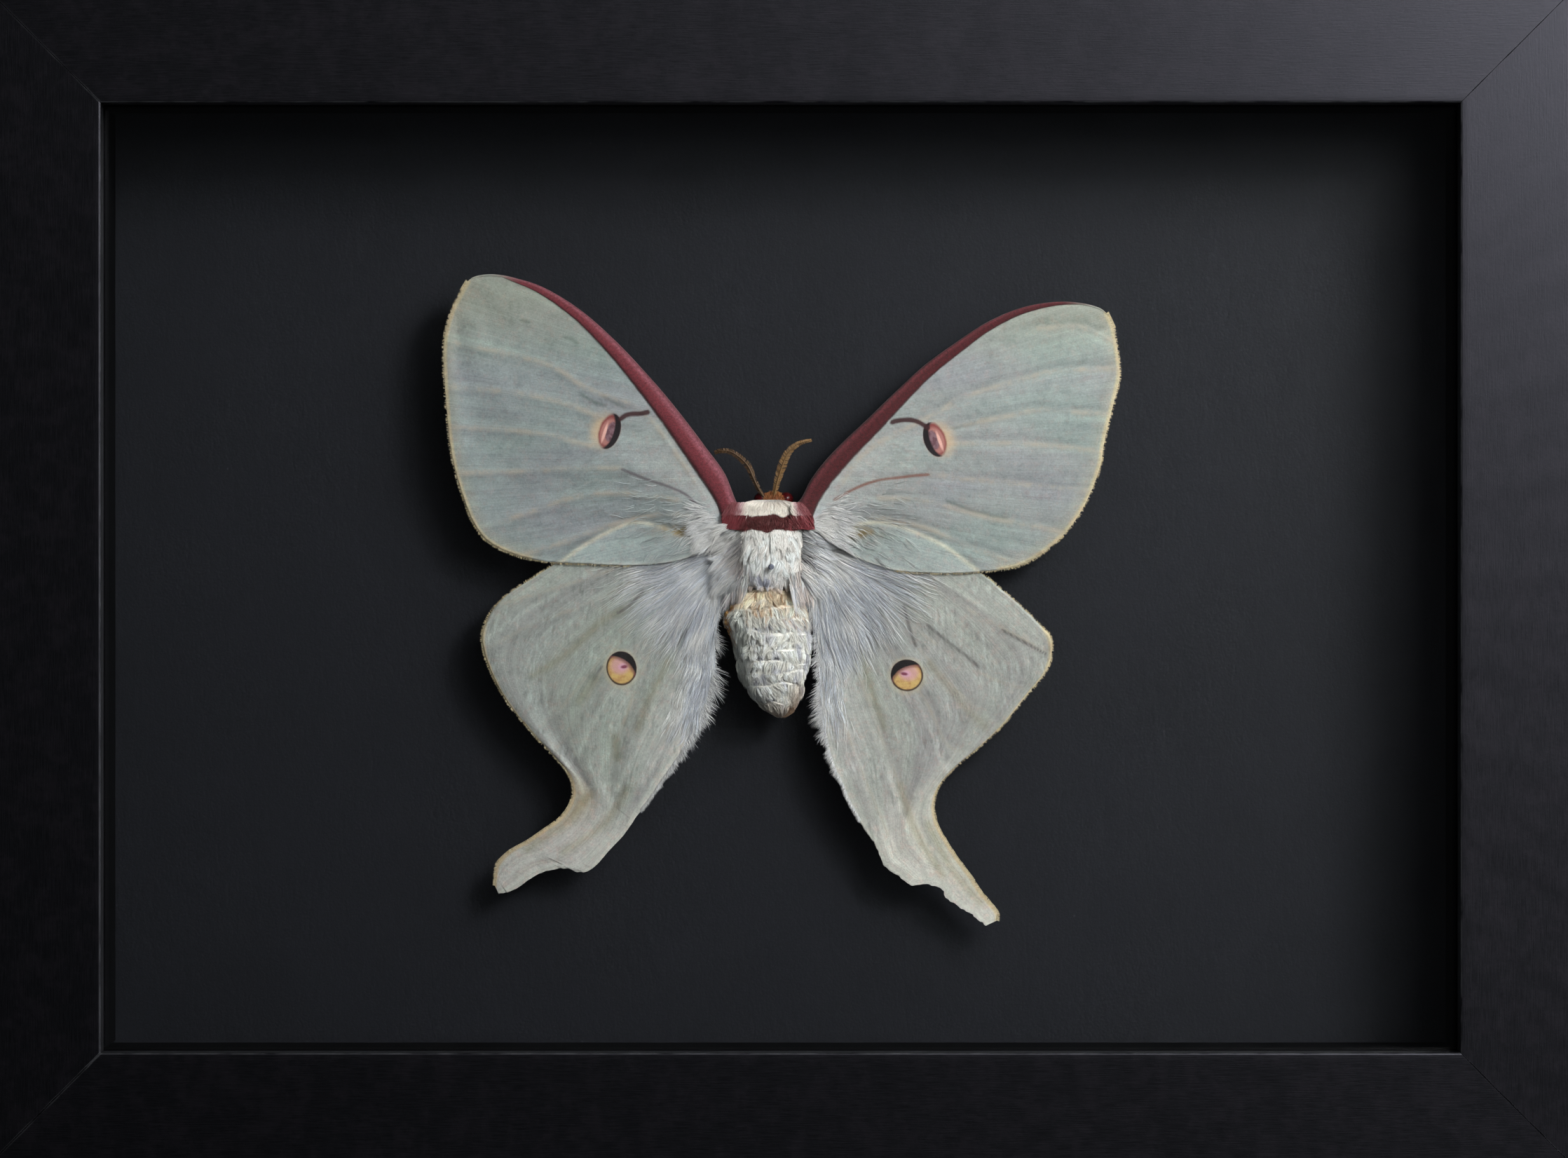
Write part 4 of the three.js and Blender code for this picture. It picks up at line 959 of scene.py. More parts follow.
def addForewing(nodeName, wing):
    rows, cols = (n + 1 for n in membrane["foreSteps"])
    side = wing["side"]
    along = np.linspace(0, 1, rows)
    front, rear = wingEdges(wing, along)
    margin = np.concatenate([wingEdges(wing, np.linspace(0.46, 1, 70))[1], front[-1:]])
    rear = worn(rear, along, 0.05, 5 + side, (11, 23, 47))
    chord = np.linalg.norm(rear - front, axis=1)
    share, ridge = frontShares(np.linspace(0, 1, cols)[None, :], along, chord, wing)
    flat = (front[:, None] + (rear - front)[:, None] * share[..., None]).reshape(-1, 2)
    onRidge = (share * chord[:, None] / ridge).ravel()
    alongAll = np.repeat(along, cols)
    shareAll = share.ravel()

    # distances that the relief and the colours follow
    gap, hand = veinFields(flat, wing["veins"])
    darkGap = leastGap(flat, [wing["darkVein"]], 30)
    strokeGap = leastGap(flat, wing["strokes"], 12)
    stalkGap = leastGap(flat, [wing["stalk"]], 20)
    underGap, underHand = nearestOn(flat, curve(wing["under"], 40))
    inside = underHand * side * underGap          # past the line where the hindwing lies under
    outer, _ = nearestOn(flat, margin)
    rootGap = np.hypot(flat[:, 0] - side * 4.5, flat[:, 1] - 6.0)
    ray = np.degrees(np.arctan2(flat[:, 1] - 13.0, np.abs(flat[:, 0] + side * 26.0)))

    away = smooth(1.0, 1.3, onRidge)
    roundness = np.sqrt(np.clip(1 - (2 * np.clip(onRidge, 0, 1) - 1) ** 2, 0, 1))
    swell = 0.13 * np.repeat(ridge[:, 0], cols) * roundness
    crumple = membrane["crumple"] * noiseAt(np.c_[flat * [1, 2.2], 0 * gap], 0.32, 3) * away
    pleat = 0.1 * np.sin(5 * np.pi * shareAll) * alongAll * np.repeat(smooth(5, 16, chord), cols)
    camber = wing["lift"] * np.sin(np.pi * alongAll) * (1 - shareAll)
    camber -= (0.92 * smooth(0.4, 0.92, shareAll) * (1 - smooth(0.5, 0.75, alongAll))
               * smooth(0.1, 0.25, alongAll))
    under = 0.09 * smooth(-0.5, 0.5, inside) * (1 - smooth(20, 27, rootGap)) * away
    middle = membrane["foreHeight"] + pleat + camber + veinRelief(gap) * away + crumple + under

    patches = noiseAt(np.c_[ray * 0.16, rootGap * 0.09, 0 * ray], 1.0, 14 + side)
    inOverlap = smooth(-0.1, 0.3, inside) * (1 - smooth(23, 26, rootGap)) * (1 - smooth(5.0, 6.5, flat[:, 1]))
    overlapTone = np.array(wing["overlap"]) * (1 + 0.25 * patches[:, None])
    rearGap = (1 - shareAll) * np.repeat(chord, cols)
    smudge = np.array(wing["smudge"])
    blotch = (0.5 + noiseAt(np.c_[flat, 0 * gap], 1.1, 12)).clip(0, 1)
    smudged = 1.5 * np.exp(-((flat - smudge) ** 2 / [6.0, 0.7]).sum(1)) * blotch
    base = dyed(fill(wing["field"], len(flat)), [
        (wingDye["lilac"], 0.5 * smooth(10, 18, rootGap) * smooth(0.0, 0.5, patches)),
        (wingDye["sea"], 0.6 * smooth(0.0, 0.5, -patches)),
        (wingDye["apex"], 0.5 * smooth(24, 35, flat[:, 1])),
        (wingDye["root"], 0.8 * (1 - smooth(2.5, 9.5, rootGap))),
        # painted shade on one side of each vein and a painted highlight on the other
        (0.8, 0.55 * bell(gap - 0.75, 0.55) * (hand > 0)),
        (1.12, 0.7 * bell(gap - 0.65, 0.45) * (hand < 0)),
        (0.7, 0.6 * bell(darkGap, 1.1)),
        ([0.5, 0.56, 0.52], 0.7 * bell(strokeGap, 0.22)),
        (wingDye["nearFront"], 0.6 * (1 - smooth(9, 25, rootGap)) * (1 - smooth(0.3, 0.6, shareAll))),
        (overlapTone, 0.55 * inOverlap),
        # a pale line along the rear edge: partly the wing's pale margin, partly a painted highlight that
        # lifts the shadow under the edge
        (wingDye["rearEdge"], 0.6 * bell(rearGap, 0.35) * (1 - smooth(0.3, 0.5, alongAll))),
        (wingDye["under"], 0.8 * bell(underGap, 0.26) * smooth(0.2, 0.8, outer)),
        # painted shadow beside the hindwing's edge, seen through the forewing, outside the overlap
        (0.8, 0.7 * bell(underGap - 0.6, 0.35) * (1 - inOverlap)),
        (wingDye["edge"], 0.92 * (1 - smooth(0.2, 0.62, outer))),
        (wingDye["inEdge"], 0.35 * (1 - smooth(0.6, 2.2, outer))),
        (wingDye["smudge"], smudged.clip(0, 0.9)),
    ])
    half = membrane["thick"] / 2
    top = middle + half + swell
    piece = sheetPiece("scaled_" + nodeName, flat, top, middle - half - 0.4 * swell, rows, cols,
                       forewingScales("scales_" + nodeName, wing), nodeName)
    wingCommon(piece, flat, {
        "veinGap": gap, "darkGap": darkGap, "stalkGap": stalkGap, "ridge": onRidge,
        "veinShow": smooth(2, 9, rootGap) * smooth(0.1, 0.6, outer + 0.3),
        "ray": ray * 0.55, "reach": rootGap * 0.05,
        "ridgeShow": 1 - smooth(wing["veinEnd"] - 0.12, wing["veinEnd"] + 0.02, alongAll),
    })
    addColours(piece, "tint", np.tile(base, (2, 1)))
    wing["skin"] = np.c_[flat, top].reshape(rows, cols, 3)


def addHindwing(nodeName, wing):
    rows, cols = (n + 1 for n in membrane["hindSteps"])
    side = wing["side"]
    along = np.linspace(0, 1, rows)
    front, rear = wingEdges(wing, along)
    rear = worn(rear, along, 0.02 + 0.12 * smooth(0.45, 0.6, along), 15 + side, (17, 37, 61))
    front = worn(front, along, 0.05, 25 + side, (13, 29, 53))
    share = np.repeat(np.linspace(0, 1, cols)[None, :], rows, axis=0)
    flat = (front[:, None] + (rear - front)[:, None] * share[..., None]).reshape(-1, 2)
    alongAll = np.repeat(along, cols)
    shareAll = share.ravel()
    chord = np.repeat(np.linalg.norm(rear - front, axis=1), cols)

    gap, hand = veinFields(flat, wing["veins"])
    darkGap = leastGap(flat, wing["marks"], 12)
    outer = np.minimum(shareAll * chord + 4 * (1 - smooth(0.25, 0.35, alongAll)), 9)
    inner = (1 - shareAll) * chord
    rootGap = np.hypot(flat[:, 0] - side * 4.5, flat[:, 1] - 1.0)

    crumple = membrane["crumple"] * 1.4 * noiseAt(np.c_[flat, 0 * gap], 0.35, 8)
    pleat = 0.14 * np.sin(5 * np.pi * shareAll) * np.minimum(1, 3 * alongAll) * smooth(4, 16, chord)
    fall = wing["droop"] * alongAll ** 2
    turnUp = wing["curl"] * np.maximum(0, alongAll - 0.9) ** 2 * 100
    middle = membrane["hindHeight"] + pleat + crumple + veinRelief(gap) - fall + turnUp

    patches = noiseAt(np.c_[shareAll * 3.2, alongAll * 2.4, 0 * gap], 1.0, 24 + side)
    inTail = smooth(0.5, 0.6, alongAll)
    base = dyed(fill(wing["field"], len(flat)), [
        (wing["tail"], smooth(0.42, 0.7, alongAll)),
        ([0.86, 0.84, 0.9], 0.6 * smooth(0.0, 0.45, patches)),
        ([0.87, 0.91, 0.89], 0.6 * smooth(0.0, 0.45, -patches)),
        (wingDye["hindRoot"], 0.75 * (1 - smooth(6, 17, rootGap)) * smooth(0.2, 0.5, shareAll)),
        (wingDye["hindInner"], 0.7 * (1 - smooth(0.6, 8.5, inner)) * (1 - smooth(0.25, 0.5, alongAll))),
        (wingDye["hindStain"], 0.5 * inTail * smooth(0.1, 0.5, patches)),
        (1.42, 0.7 * bell(leastGap(flat, wing["lights"], 16), 0.3)),
        ([0.76, 0.72, 0.6], 0.75 * bell(leastGap(flat, wing["olive"], 16), 0.6)),
        (wingDye["hindMargin"], 0.7 * bell(inner, 0.8) * smooth(0.2, 0.35, alongAll)),
        (wingDye["hindEdge"], 0.85 * (1 - smooth(0.2, 0.6, outer))),
        # painted shade on one side of each vein and a painted highlight on the other
        (0.8, 0.5 * bell(gap - 0.7, 0.5) * (hand > 0)),
        (1.12, 0.6 * bell(gap - 0.7, 0.5) * (hand < 0)),
        (0.72, 0.6 * bell(darkGap, 1.0)),
    ])
    half = membrane["thick"] / 2
    piece = sheetPiece("scaled_" + nodeName, flat, middle + half, middle - half, rows, cols,
                       hindwingScales("scales_" + nodeName, wing), nodeName)
    wingCommon(piece, flat, {
        "veinGap": gap, "darkGap": darkGap, "veinShow": smooth(3, 10, rootGap),
        "ray": shareAll * 9.0, "reach": alongAll * 2.2,
    })
    addColours(piece, "tint", np.tile(base, (2, 1)))
    wing["skin"] = np.c_[flat, middle + half].reshape(rows, cols, 3)


addForewing("forewing_left", leftForewing)
addForewing("forewing_right", rightForewing)
addHindwing("hindwing_left", leftHindwing)
addHindwing("hindwing_right", rightHindwing)
print("wings done")


# hair: every strand is a thin tapering ribbon

hairSteps = (0.0, 0.38, 0.74)


def hairFinish(name, roughness=0.55, sheen=0.3):
    m = Paper(name, Roughness=roughness, Specular_IOR_Level=0.35, Sheen_Weight=sheen)
    speck = m.patches(3000.0, 2.0, 0.3, 0.7, 0.0, 0.25)
    return m.base(shaded(m, speck, m.colour("tint"), (0.8, 0.78, 0.78)))


# roots, middles and tips are x, z, height in mm from the pin
def addHair(name, roots, middles, tips, width, colours, material, seed, rootShade=0.62):
    rng = np.random.default_rng(seed)
    count = len(roots)
    facing = rng.normal(0, 0.45, (count, 3)) + np.array([0, 0, 1.0])
    wide = width * rng.uniform(0.7, 1.3, count)
    points = np.zeros((count, 7, 3))
    for k, t in enumerate(hairSteps):
        spot = (1 - t) ** 2 * roots + 2 * t * (1 - t) * middles + t ** 2 * tips
        run = 2 * (1 - t) * (middles - roots) + 2 * t * (tips - middles)
        side = unit(np.cross(run, facing))
        half = side * (wide * (1, 0.85, 0.5)[k] / 2)[:, None]
        points[:, 2 * k] = spot - half
        points[:, 2 * k + 1] = spot + half
    points[:, 6] = tips
    flat = points.reshape(-1, 3)
    start = np.arange(count) * 7
    quads = np.concatenate([np.stack([start, start + 1, start + 3, start + 2], 1),
                            np.stack([start + 2, start + 3, start + 5, start + 4], 1)])
    ends = np.stack([start + 4, start + 5, start + 6], 1)
    piece = makePiece(name, mothPoints(flat), quads.tolist() + ends.tolist(),
                      material, closed=False)
    # painted shade on every strand: darker at the root, a little lighter at the tip
    shade = np.array([rootShade, rootShade, 0.9, 0.9, 1.0, 1.0, 1.06])[None, :, None]
    tone = rng.normal(1, 0.08, count).clip(0.75, 1.25)[:, None, None]
    addColours(piece, "tint", (np.asarray(colours)[:, None, :] * shade * tone).reshape(-1, 3))


def gather(roots, tips, locks, pull, seed):  # draws strands together into locks
    rng = np.random.default_rng(seed)
    heads = rng.choice(len(roots), min(locks, len(roots)), replace=False)
    near = np.empty(len(roots), int)
    for start in range(0, len(roots), 4000):
        part = roots[start:start + 4000]
        near[start:start + 4000] = ((part[:, None] - roots[heads][None]) ** 2).sum(2).argmin(1)
    lead = tips[heads][near]
    apart = np.linalg.norm(roots - roots[heads][near], axis=1)[:, None]
    return tips + (lead - tips) * pull * np.clip(1.6 - apart, 0, 1), near


def bendLocks(middles, tips, lock, amount, seed):  # each lock of strands gets its own bend
    rng = np.random.default_rng(seed)
    shift = rng.normal(0, amount, (lock.max() + 1, 3)) * [1, 1, 0.6]
    return middles + shift[lock], tips - 0.6 * shift[lock] * [1, 1, 0.3]


def intoLocks(roots, middles, tips, locks, pull, bend, seeds):  # gathers strands and bends each lock
    tips, lock = gather(roots, tips, locks, pull, seeds[0])
    middles, tips = bendLocks(middles, tips, lock, bend, seeds[1])
    return middles, tips, lock


def lockTones(rng, low, high, kind, lock):  # one shade for every strand of a lock
    return rng.uniform(low, high, kind["locks"])[lock][:, None]


# thorax: white wool, white collar, maroon band and side tufts

thorax = {
    "rings": [(8.75, 0), (8.7, 1.6), (8.35, 3.2), (7.6, 4), (6.95, 4.05), (6.7, 3.95), (6.3, 4.6),
              (5.4, 4.85), (4.75, 4.7), (4.2, 4.85), (2.6, 5.05), (0.8, 5.1), (-0.8, 4.9), (-1.9, 4.3),
              (-2.45, 2.8), (-2.6, 0)],  # z, radius
    "x": -0.3,
    "height": 5.1,
    "flatness": 0.84,
    "skinBelow": 0.55,      # mm from the hair tips down to the skin
    "rearZ": -2.9,          # the wool's tips turn short behind this
    "woolStrands": 17000,
    "woolLength": 2.6,
    "woolLocks": {"locks": 240, "pull": 0.72, "bend": 0.36, "seeds": (5, 25)},
    "velvetStrands": 9000,
    "wool": paint(252, 245, 241),
    "woolCool": paint(212, 210, 222),
    "woolWarm": paint(214, 190, 172),
    "woolRear": paint(196, 158, 128),
    "brownStrand": paint(150, 112, 100),
    "leftShade": paint(150, 144, 160),
    "band": paint(86, 22, 24),
    "bandEnd": paint(132, 50, 58),
    "collar": paint(252, 240, 230),
    "collarPink": paint(222, 180, 184),
    "skinNap": paint(120, 104, 104),
}


def thoraxRadius(z):
    rings = sorted(thorax["rings"])
    return np.interp(z, [r[0] for r in rings], [r[1] for r in rings])


def bodyPoints(middle, radius, turn, z):
    height = thorax["height"] + thorax["flatness"] * radius * np.cos(turn)
    return np.stack([middle + radius * np.sin(turn), z, height], -1)


def onThorax(turn, z, lift=0.0):  # turn 0 faces the viewer
    radius = np.maximum(thoraxRadius(z) + lift, 0.02)
    return bodyPoints(thorax["x"], radius, turn, z)


def thoraxSkin():
    m = Paper("thoraxSkin", Roughness=0.8, Specular_IOR_Level=0.2)
    nap = m.noise(m.place((1, 1, 0.35)), 2200.0, 4.0, 0.6)
    colour = m.mix(m.fade(nap, 0.3, 0.7, 0.0, 0.5), m.colour("tint"), thorax["skinNap"])
    m.bump(nap, 0.7, 0.0003)
    return m.base(colour)


def addThoraxSkin():
    rings, around = 90, 96
    turns = aroundTurns(around)
    grid = np.concatenate([onThorax(turns, np.full(around, z), -thorax["skinBelow"])
                           for z in np.linspace(8.6, -2.45, rings)])
    grid[:, 2] += 0.12 * noiseAt(grid, 0.9, 4)
    banded = smooth(4.7, 4.9, grid[:, 1]) * (1 - smooth(6.6, 6.8, grid[:, 1]))
    skin = makePiece("thorax_skin", mothPoints(grid), closedFaces(rings, around), thoraxSkin(),
                     ["thorax"])
    # painted shade: the skin under the hair takes darker copies of the wool and band colours
    wool, band = fill(thorax["wool"], len(grid)) * 0.55, np.array(thorax["band"]) * 0.8
    addColours(skin, "tint", tint(wool, band, banded))


def addWool(rng, finish):
    count = thorax["woolStrands"]
    rearZ, lowZ = thorax["rearZ"], thorax["rearZ"] + 0.8
    turn = aroundBody(rng, 1.15, count)
    z = rng.uniform(-2.3, 4.9, count)
    roots = onThorax(turn, z, -thorax["skinBelow"])
    sway = noiseAt(roots, 0.55, 21)
    rise = noiseAt(roots, 0.8, 22)
    length = thorax["woolLength"] * rng.uniform(0.55, 1.15, count) * (0.75 + 0.25 * smooth(-2.3, 0.5, z))
    sideways = 0.1 * np.sin(turn) + 0.45 * sway + rng.normal(0, 0.06, count)
    endZ = z - length * np.cos(sideways)
    endZ = np.where(endZ < rearZ, rearZ + (endZ - rearZ) * 0.25, endZ)     # few tips reach past the rear
    endTurn = turn + length * np.sin(sideways) / 4.6
    tipLift = np.clip(-0.08 + 0.2 * rise + rng.normal(0, 0.06, count), -0.35, 0.12)
    tips = onThorax(endTurn, np.maximum(endZ, lowZ), tipLift)
    tips[:, 1] = endZ
    middles = onThorax((turn + endTurn) / 2, np.maximum((z + endZ) / 2, lowZ), tipLift + 0.16)
    middles, tips, lock = intoLocks(roots, middles, tips, **thorax["woolLocks"])
    x = roots[:, 0]
    lockTone = lockTones(rng, 0.84, 1.24, thorax["woolLocks"], lock)
    tone = dyed(fill(thorax["wool"], count), [
        (thorax["woolCool"], 0.75 * smooth(0.1, 0.55, noiseAt(roots, 0.45, 31))
         + 0.5 * np.exp(-((x + 0.8) / 2.2) ** 2 - ((z + 1.0) / 1.3) ** 2)),
        (thorax["woolWarm"], 0.5 * smooth(0.15, 0.6, noiseAt(roots, 0.5, 32)) * (x > 0)),
        (thorax["woolRear"], 0.6 * (1 - smooth(-2.4, -1.2, z))),
        (thorax["brownStrand"], 0.7 * smooth(2.9, 3.8, x + 0.5 * sway) * (lockTone[:, 0] > 1.02)),
        (thorax["leftShade"], 0.75 * smooth(3.4, 4.2, -x)),
    ])
    # painted shade along the crease on the thorax's left side, where the shoulder tuft meets the wool
    seamShade = bell(x + 3.35, 0.28) * smooth(0.6, 1.6, z)
    tone = tone * (1 - 0.72 * seamShade[:, None]) * lockTone
    addHair("thorax_hair", roots, middles, tips, 0.085, np.minimum(tone, 1), finish, 3, 0.7)


def addCollar(rng, finish):  # short velvet of the maroon band and the white collar in front of it
    count = thorax["velvetStrands"]
    turn = aroundBody(rng, 1.2, count)
    z = rng.uniform(4.5, 8.55, count)
    roots = onThorax(turn, z, -0.4)
    sway = noiseAt(roots, 0.8, 41)
    edge = 4.95 + 0.55 * sway + rng.normal(0, 0.08, count)
    top = 6.95 + 0.3 * sway + 0.1 * np.cos(turn * 9) + rng.normal(0, 0.06, count)
    inBand = (z > edge) & (z < top)
    length = np.where(inBand, 0.75, 1.05) * rng.uniform(0.7, 1.2, count)
    collarEnd = np.where(z >= top, np.maximum(z - length, top - 0.45), z - length)
    endZ = np.where(inBand, np.maximum(z - length, edge - 0.3), collarEnd)
    tips = onThorax(turn + 0.1 * sway, endZ, 0.02)
    middles = onThorax(turn + 0.05 * sway, (z + endZ) / 2, 0.14)
    fromMiddle = np.abs(roots[:, 0] + 0.2)
    tone = dyed(fill(thorax["collar"], count), [
        (thorax["collarPink"], 0.85 * smooth(2.2, 3.9, fromMiddle)),
        (thorax["bandEnd"], 0.8 * smooth(3.5, 4.3, fromMiddle + 0.4 * sway)),
    ])
    bandTone = tint(fill(thorax["band"], count), thorax["bandEnd"],
                    0.9 * smooth(2.2, 2.9, np.abs(roots[:, 0] + 0.4)))
    tone = np.where(inBand[:, None], bandTone, tone)
    tone = np.where((z <= edge)[:, None], np.array(thorax["wool"]), tone)
    addHair("collar_hair", roots, middles, tips, 0.08, tone, finish, 4, 0.7)


def addCollarEnd(side, inner, collarEnd, bandEnd, finish):
    rng = np.random.default_rng(171 + side)
    count = 2200
    z = rng.uniform(4.85, 8.3, count)
    over = (z - 6.7) / 1.6
    end = np.where(z > 6.6, collarEnd - side * 1.1 * np.clip(over, 0, 1) ** 2, bandEnd)
    share = rng.uniform(0, 1, count) ** 0.9
    x = inner + (end - inner) * share
    height = 8.25 - 0.55 * share ** 2 + rng.uniform(-0.3, 0.0, count)
    roots = np.c_[x, z, height]
    sway = noiseAt(roots, 0.9, 173)
    length = rng.uniform(0.6, 1.15, count)
    angle = 1.05 + 0.35 * sway
    tips = roots + np.c_[side * length * np.cos(angle) * 0.8, -length * np.sin(angle), 0.02 - 0.2 * share]
    floorZ = np.where(z > 6.75, 6.5, 4.75) + 0.16 * sway
    tips[:, 1] = np.maximum(tips[:, 1], floorZ)
    middles = (roots + tips) / 2 + np.array([0, 0, 0.16])
    white = tint(fill(thorax["collar"], count), thorax["collarPink"], smooth(0.0, 0.4, share))
    white = tint(white, thorax["bandEnd"], 0.9 * smooth(0.3, 0.65, share + 0.35 * sway))
    maroon = tint(fill(thorax["band"], count), thorax["bandEnd"], smooth(-0.1, 0.5, share + 0.4 * sway))
    tone = np.where((z > 6.7 + 0.15 * sway)[:, None], white, maroon)
    addHair("collar_end_" + ("left" if side < 0 else "right"), roots, middles, tips, 0.08, tone, finish,
            17, 0.8)


addThoraxSkin()
thoraxDraws = np.random.default_rng(11)
woolFinish = hairFinish("whiteWool")
addWool(thoraxDraws, woolFinish)
addCollar(thoraxDraws, woolFinish)
addCollarEnd(-1, -2.9, -6.1, -6.0, woolFinish)
addCollarEnd(1, 2.4, 4.9, 5.3, woolFinish)
print("thorax done")


# wing hair: silk over the wing roots, fringes along the margins and tufts beside the thorax

silk = {
    "foreRoot": 1500,
    "hindRoot": 6800,
    "fringe": 2600,
    "edging": 1500,
    "tuft": 2600,
    "hanging": 1500,
    "hindLocks": {"locks": 420, "pull": 0.42, "bend": 0.3, "seeds": (7, 27)},
    "foreLocks": {"locks": 120, "pull": 0.6, "bend": 0.25, "seeds": (8, 28)},
    "tuftLocks": {"locks": 130, "pull": 0.7, "bend": 0.35, "seeds": (9, 29)},
    "hangingLocks": {"locks": 70, "pull": 0.65, "bend": 0.25, "seeds": (31, 32)},
    "silver": paint(200, 203, 213),
    "white": paint(240, 235, 232),
    "shade": paint(158, 158, 170),
    "edge": paint(204, 180, 134),
    "pink": paint(208, 184, 176),
    "warm": paint(226, 200, 184),
}


def pickOn(skin, weight, count, rng):  # random places on a wing surface and the direction of its rows there
    cell = (skin[1:, :-1] - skin[:-1, :-1])
    over = (skin[:-1, 1:] - skin[:-1, :-1])
    area = np.abs(cell[..., 0] * over[..., 1] - cell[..., 1] * over[..., 0]) * weight[:-1, :-1]
    chance = area.ravel() / area.sum()
    picked = rng.choice(len(chance), count, p=chance)
    row, col = np.divmod(picked, skin.shape[1] - 1)
    u, v = rng.random((2, count, 1))
    place = skin[row, col] + cell[row, col] * u + over[row, col] * v
    run = cell[row, col][:, :2]
    return place, unit(run)


def silkTone(places, rng, seed):
    tone = fill(silk["silver"], len(places))
    drift = noiseAt(places * [1, 1, 0], 0.5, seed)
    tone = tint(tone, silk["white"], 0.75 * smooth(0.0, 0.45, drift))
    tone = tint(tone, silk["shade"], 0.45 * smooth(0.05, 0.5, -drift))
    return tint(tone, silk["white"], 0.8 * (rng.random(len(places)) > 0.8))


def onMargin(border, at):  # places along a margin and its direction there
    low = at.astype(int)
    step = border[low + 1] - border[low]
    return border[low] + step * (at - low)[:, None], unit(step[:, :2])


def fromRoot(skin, root):
    return np.hypot(skin[..., 0] - root[0], skin[..., 1] - root[1])


def addHindSilk(label, wing, finish, rng):
    skin = wing["skin"]
    root = np.array([wing["side"] * 5.2, 2.4])
    far = fromRoot(skin, root)
    inner = np.linalg.norm(skin - skin[:, -1:], axis=2)
    weight = (1 - smooth(7, 17, far)) * smooth(0.0, 0.3, np.linspace(0, 1, skin.shape[1]))[None]
    weight = weight * (0.35 + 0.65 * (1 - smooth(5, 9, inner)))
    weight += wing["marginSilk"] * (1 - smooth(2, 5, inner)) * (1 - smooth(18, 26, far))
    count = int(silk["hindRoot"] * (0.6 + 0.4 * wing["marginSilk"]))
    place, run = pickOn(skin, np.maximum(weight, 0), count, rng)
    away = place[:, :2] - root
    gap = np.linalg.norm(away, axis=1)
    way = unit(away / gap[:, None] + run * smooth(6, 14, gap)[:, None] * 0.6)
    way = turned(way, 0.34 * noiseAt(place * [1, 1, 0], 0.35, 111) + rng.normal(0, 0.06, count))
    length = rng.uniform(2.2, 6.4, count) * (1 - 0.5 * smooth(8, 20, gap))
    drop = -0.06 * smooth(10, 20, gap) * length
    tips = lying(place, way, length, 0.1 + drop + rng.uniform(0, 0.12, count))
    middles = lying(place, way, length * 0.5, rng.uniform(0.28, 0.5, count))
    middles, tips, lock = intoLocks(place, middles, tips, **silk["hindLocks"])
    tone = silkTone(place, rng, 121) * lockTones(rng, 0.72, 1.28, silk["hindLocks"], lock)
    tone = tone * (1 + 0.3 * smooth(6, 16, -place[:, 1]))[:, None]
    fromMargin, _ = nearestOn(place[:, :2], skin[::4, -1, :2])
    field = np.minimum(np.array(wing["field"]) * 1.25, 1)
    tone = tint(tone, field, smooth(9, 18, gap) * smooth(1, 6, fromMargin) * 0.7)
    clear = np.full(count, True)
    for spots in (place, middles, tips):      # strands stay off the eyespot and the dark marks
        clear &= np.hypot(spots[:, 0] - wing["spot"]["x"], spots[:, 1] - wing["spot"]["z"]) > 2.7
        for mark in wing["marks"]:
            clear &= nearestOn(spots[:, :2], np.array(mark))[0] > 0.3
    addHair("hindwing_silk_" + label, place[clear], middles[clear], tips[clear], 0.05, tone[clear], finish,
            12, 0.7)


def addFringe(label, wing, finish, rng):  # uneven hair along the inner margin of a hindwing
    skin = wing["skin"]
    count = silk["fringe"]
    share = rng.uniform(0.05, 0.5, count)
    at = share * (len(skin) - 1)
    edge, run = onMargin(skin[:, -1], at)
    out = edge[:, :2] - skin[at.astype(int), -8, :2]
    out = unit(out - run * (out * run).sum(1)[:, None])
    clump = 0.65 + 1.1 * noiseAt(edge * [1, 1, 0], 1.1, 131)
    length = 0.3 + (1.2 + wing["marginSilk"]) * bell(share - 0.2, 0.13) * clump.clip(0.1, 1.5)
    length = length * rng.uniform(0.25, 1.3, count)
    way = unit(out * rng.uniform(0.45, 1.1, (count, 1)) + run * rng.uniform(0.1, 1.1, (count, 1)))
    start = edge - np.c_[out * 0.35, np.zeros(count)]
    tips = lying(start, way, length + 0.35, rng.uniform(-0.5, 0.35, count))
    middles = (start + tips) / 2 + np.c_[run * -0.12 + out * 0.12, np.full(count, 0.1)]
    tone = tint(fill(silk["white"], count) * 0.85, silk["silver"], rng.uniform(0, 0.7, count))
    addHair("hindwing_fringe_" + label, start, middles, tips, 0.055, tone, finish, 13)


def addEdging(nodeName, wing, border):  # scales that stand out along an outer margin
    rng = np.random.default_rng(141 + wing["side"])
    count = silk["edging"]
    edge, run = onMargin(border, rng.uniform(0, len(border) - 1.001, count))
    out = np.c_[run[:, 1], -run[:, 0]]
    towards = edge[:, :2] - wing["skin"][..., :2].reshape(-1, 2).mean(0)
    out *= np.sign((out * towards).sum(1))[:, None]
    start = edge - np.c_[out * 0.18, np.full(count, 0.03)]
    length = 0.18 + rng.uniform(0.12, 0.34, count)
    way = out + run * rng.normal(0, 0.25, (count, 1))
    tips = lying(start, way, length, rng.normal(-0.03, 0.05, count))
    tone = tint(fill(silk["edge"], count), wing["field"], rng.uniform(0, 0.5, count))
    addHair(nodeName, start, (start + tips) / 2, tips, 0.1, tone, hairFinish("edge_" + nodeName, 0.6, 0.1),
            14, 0.95)


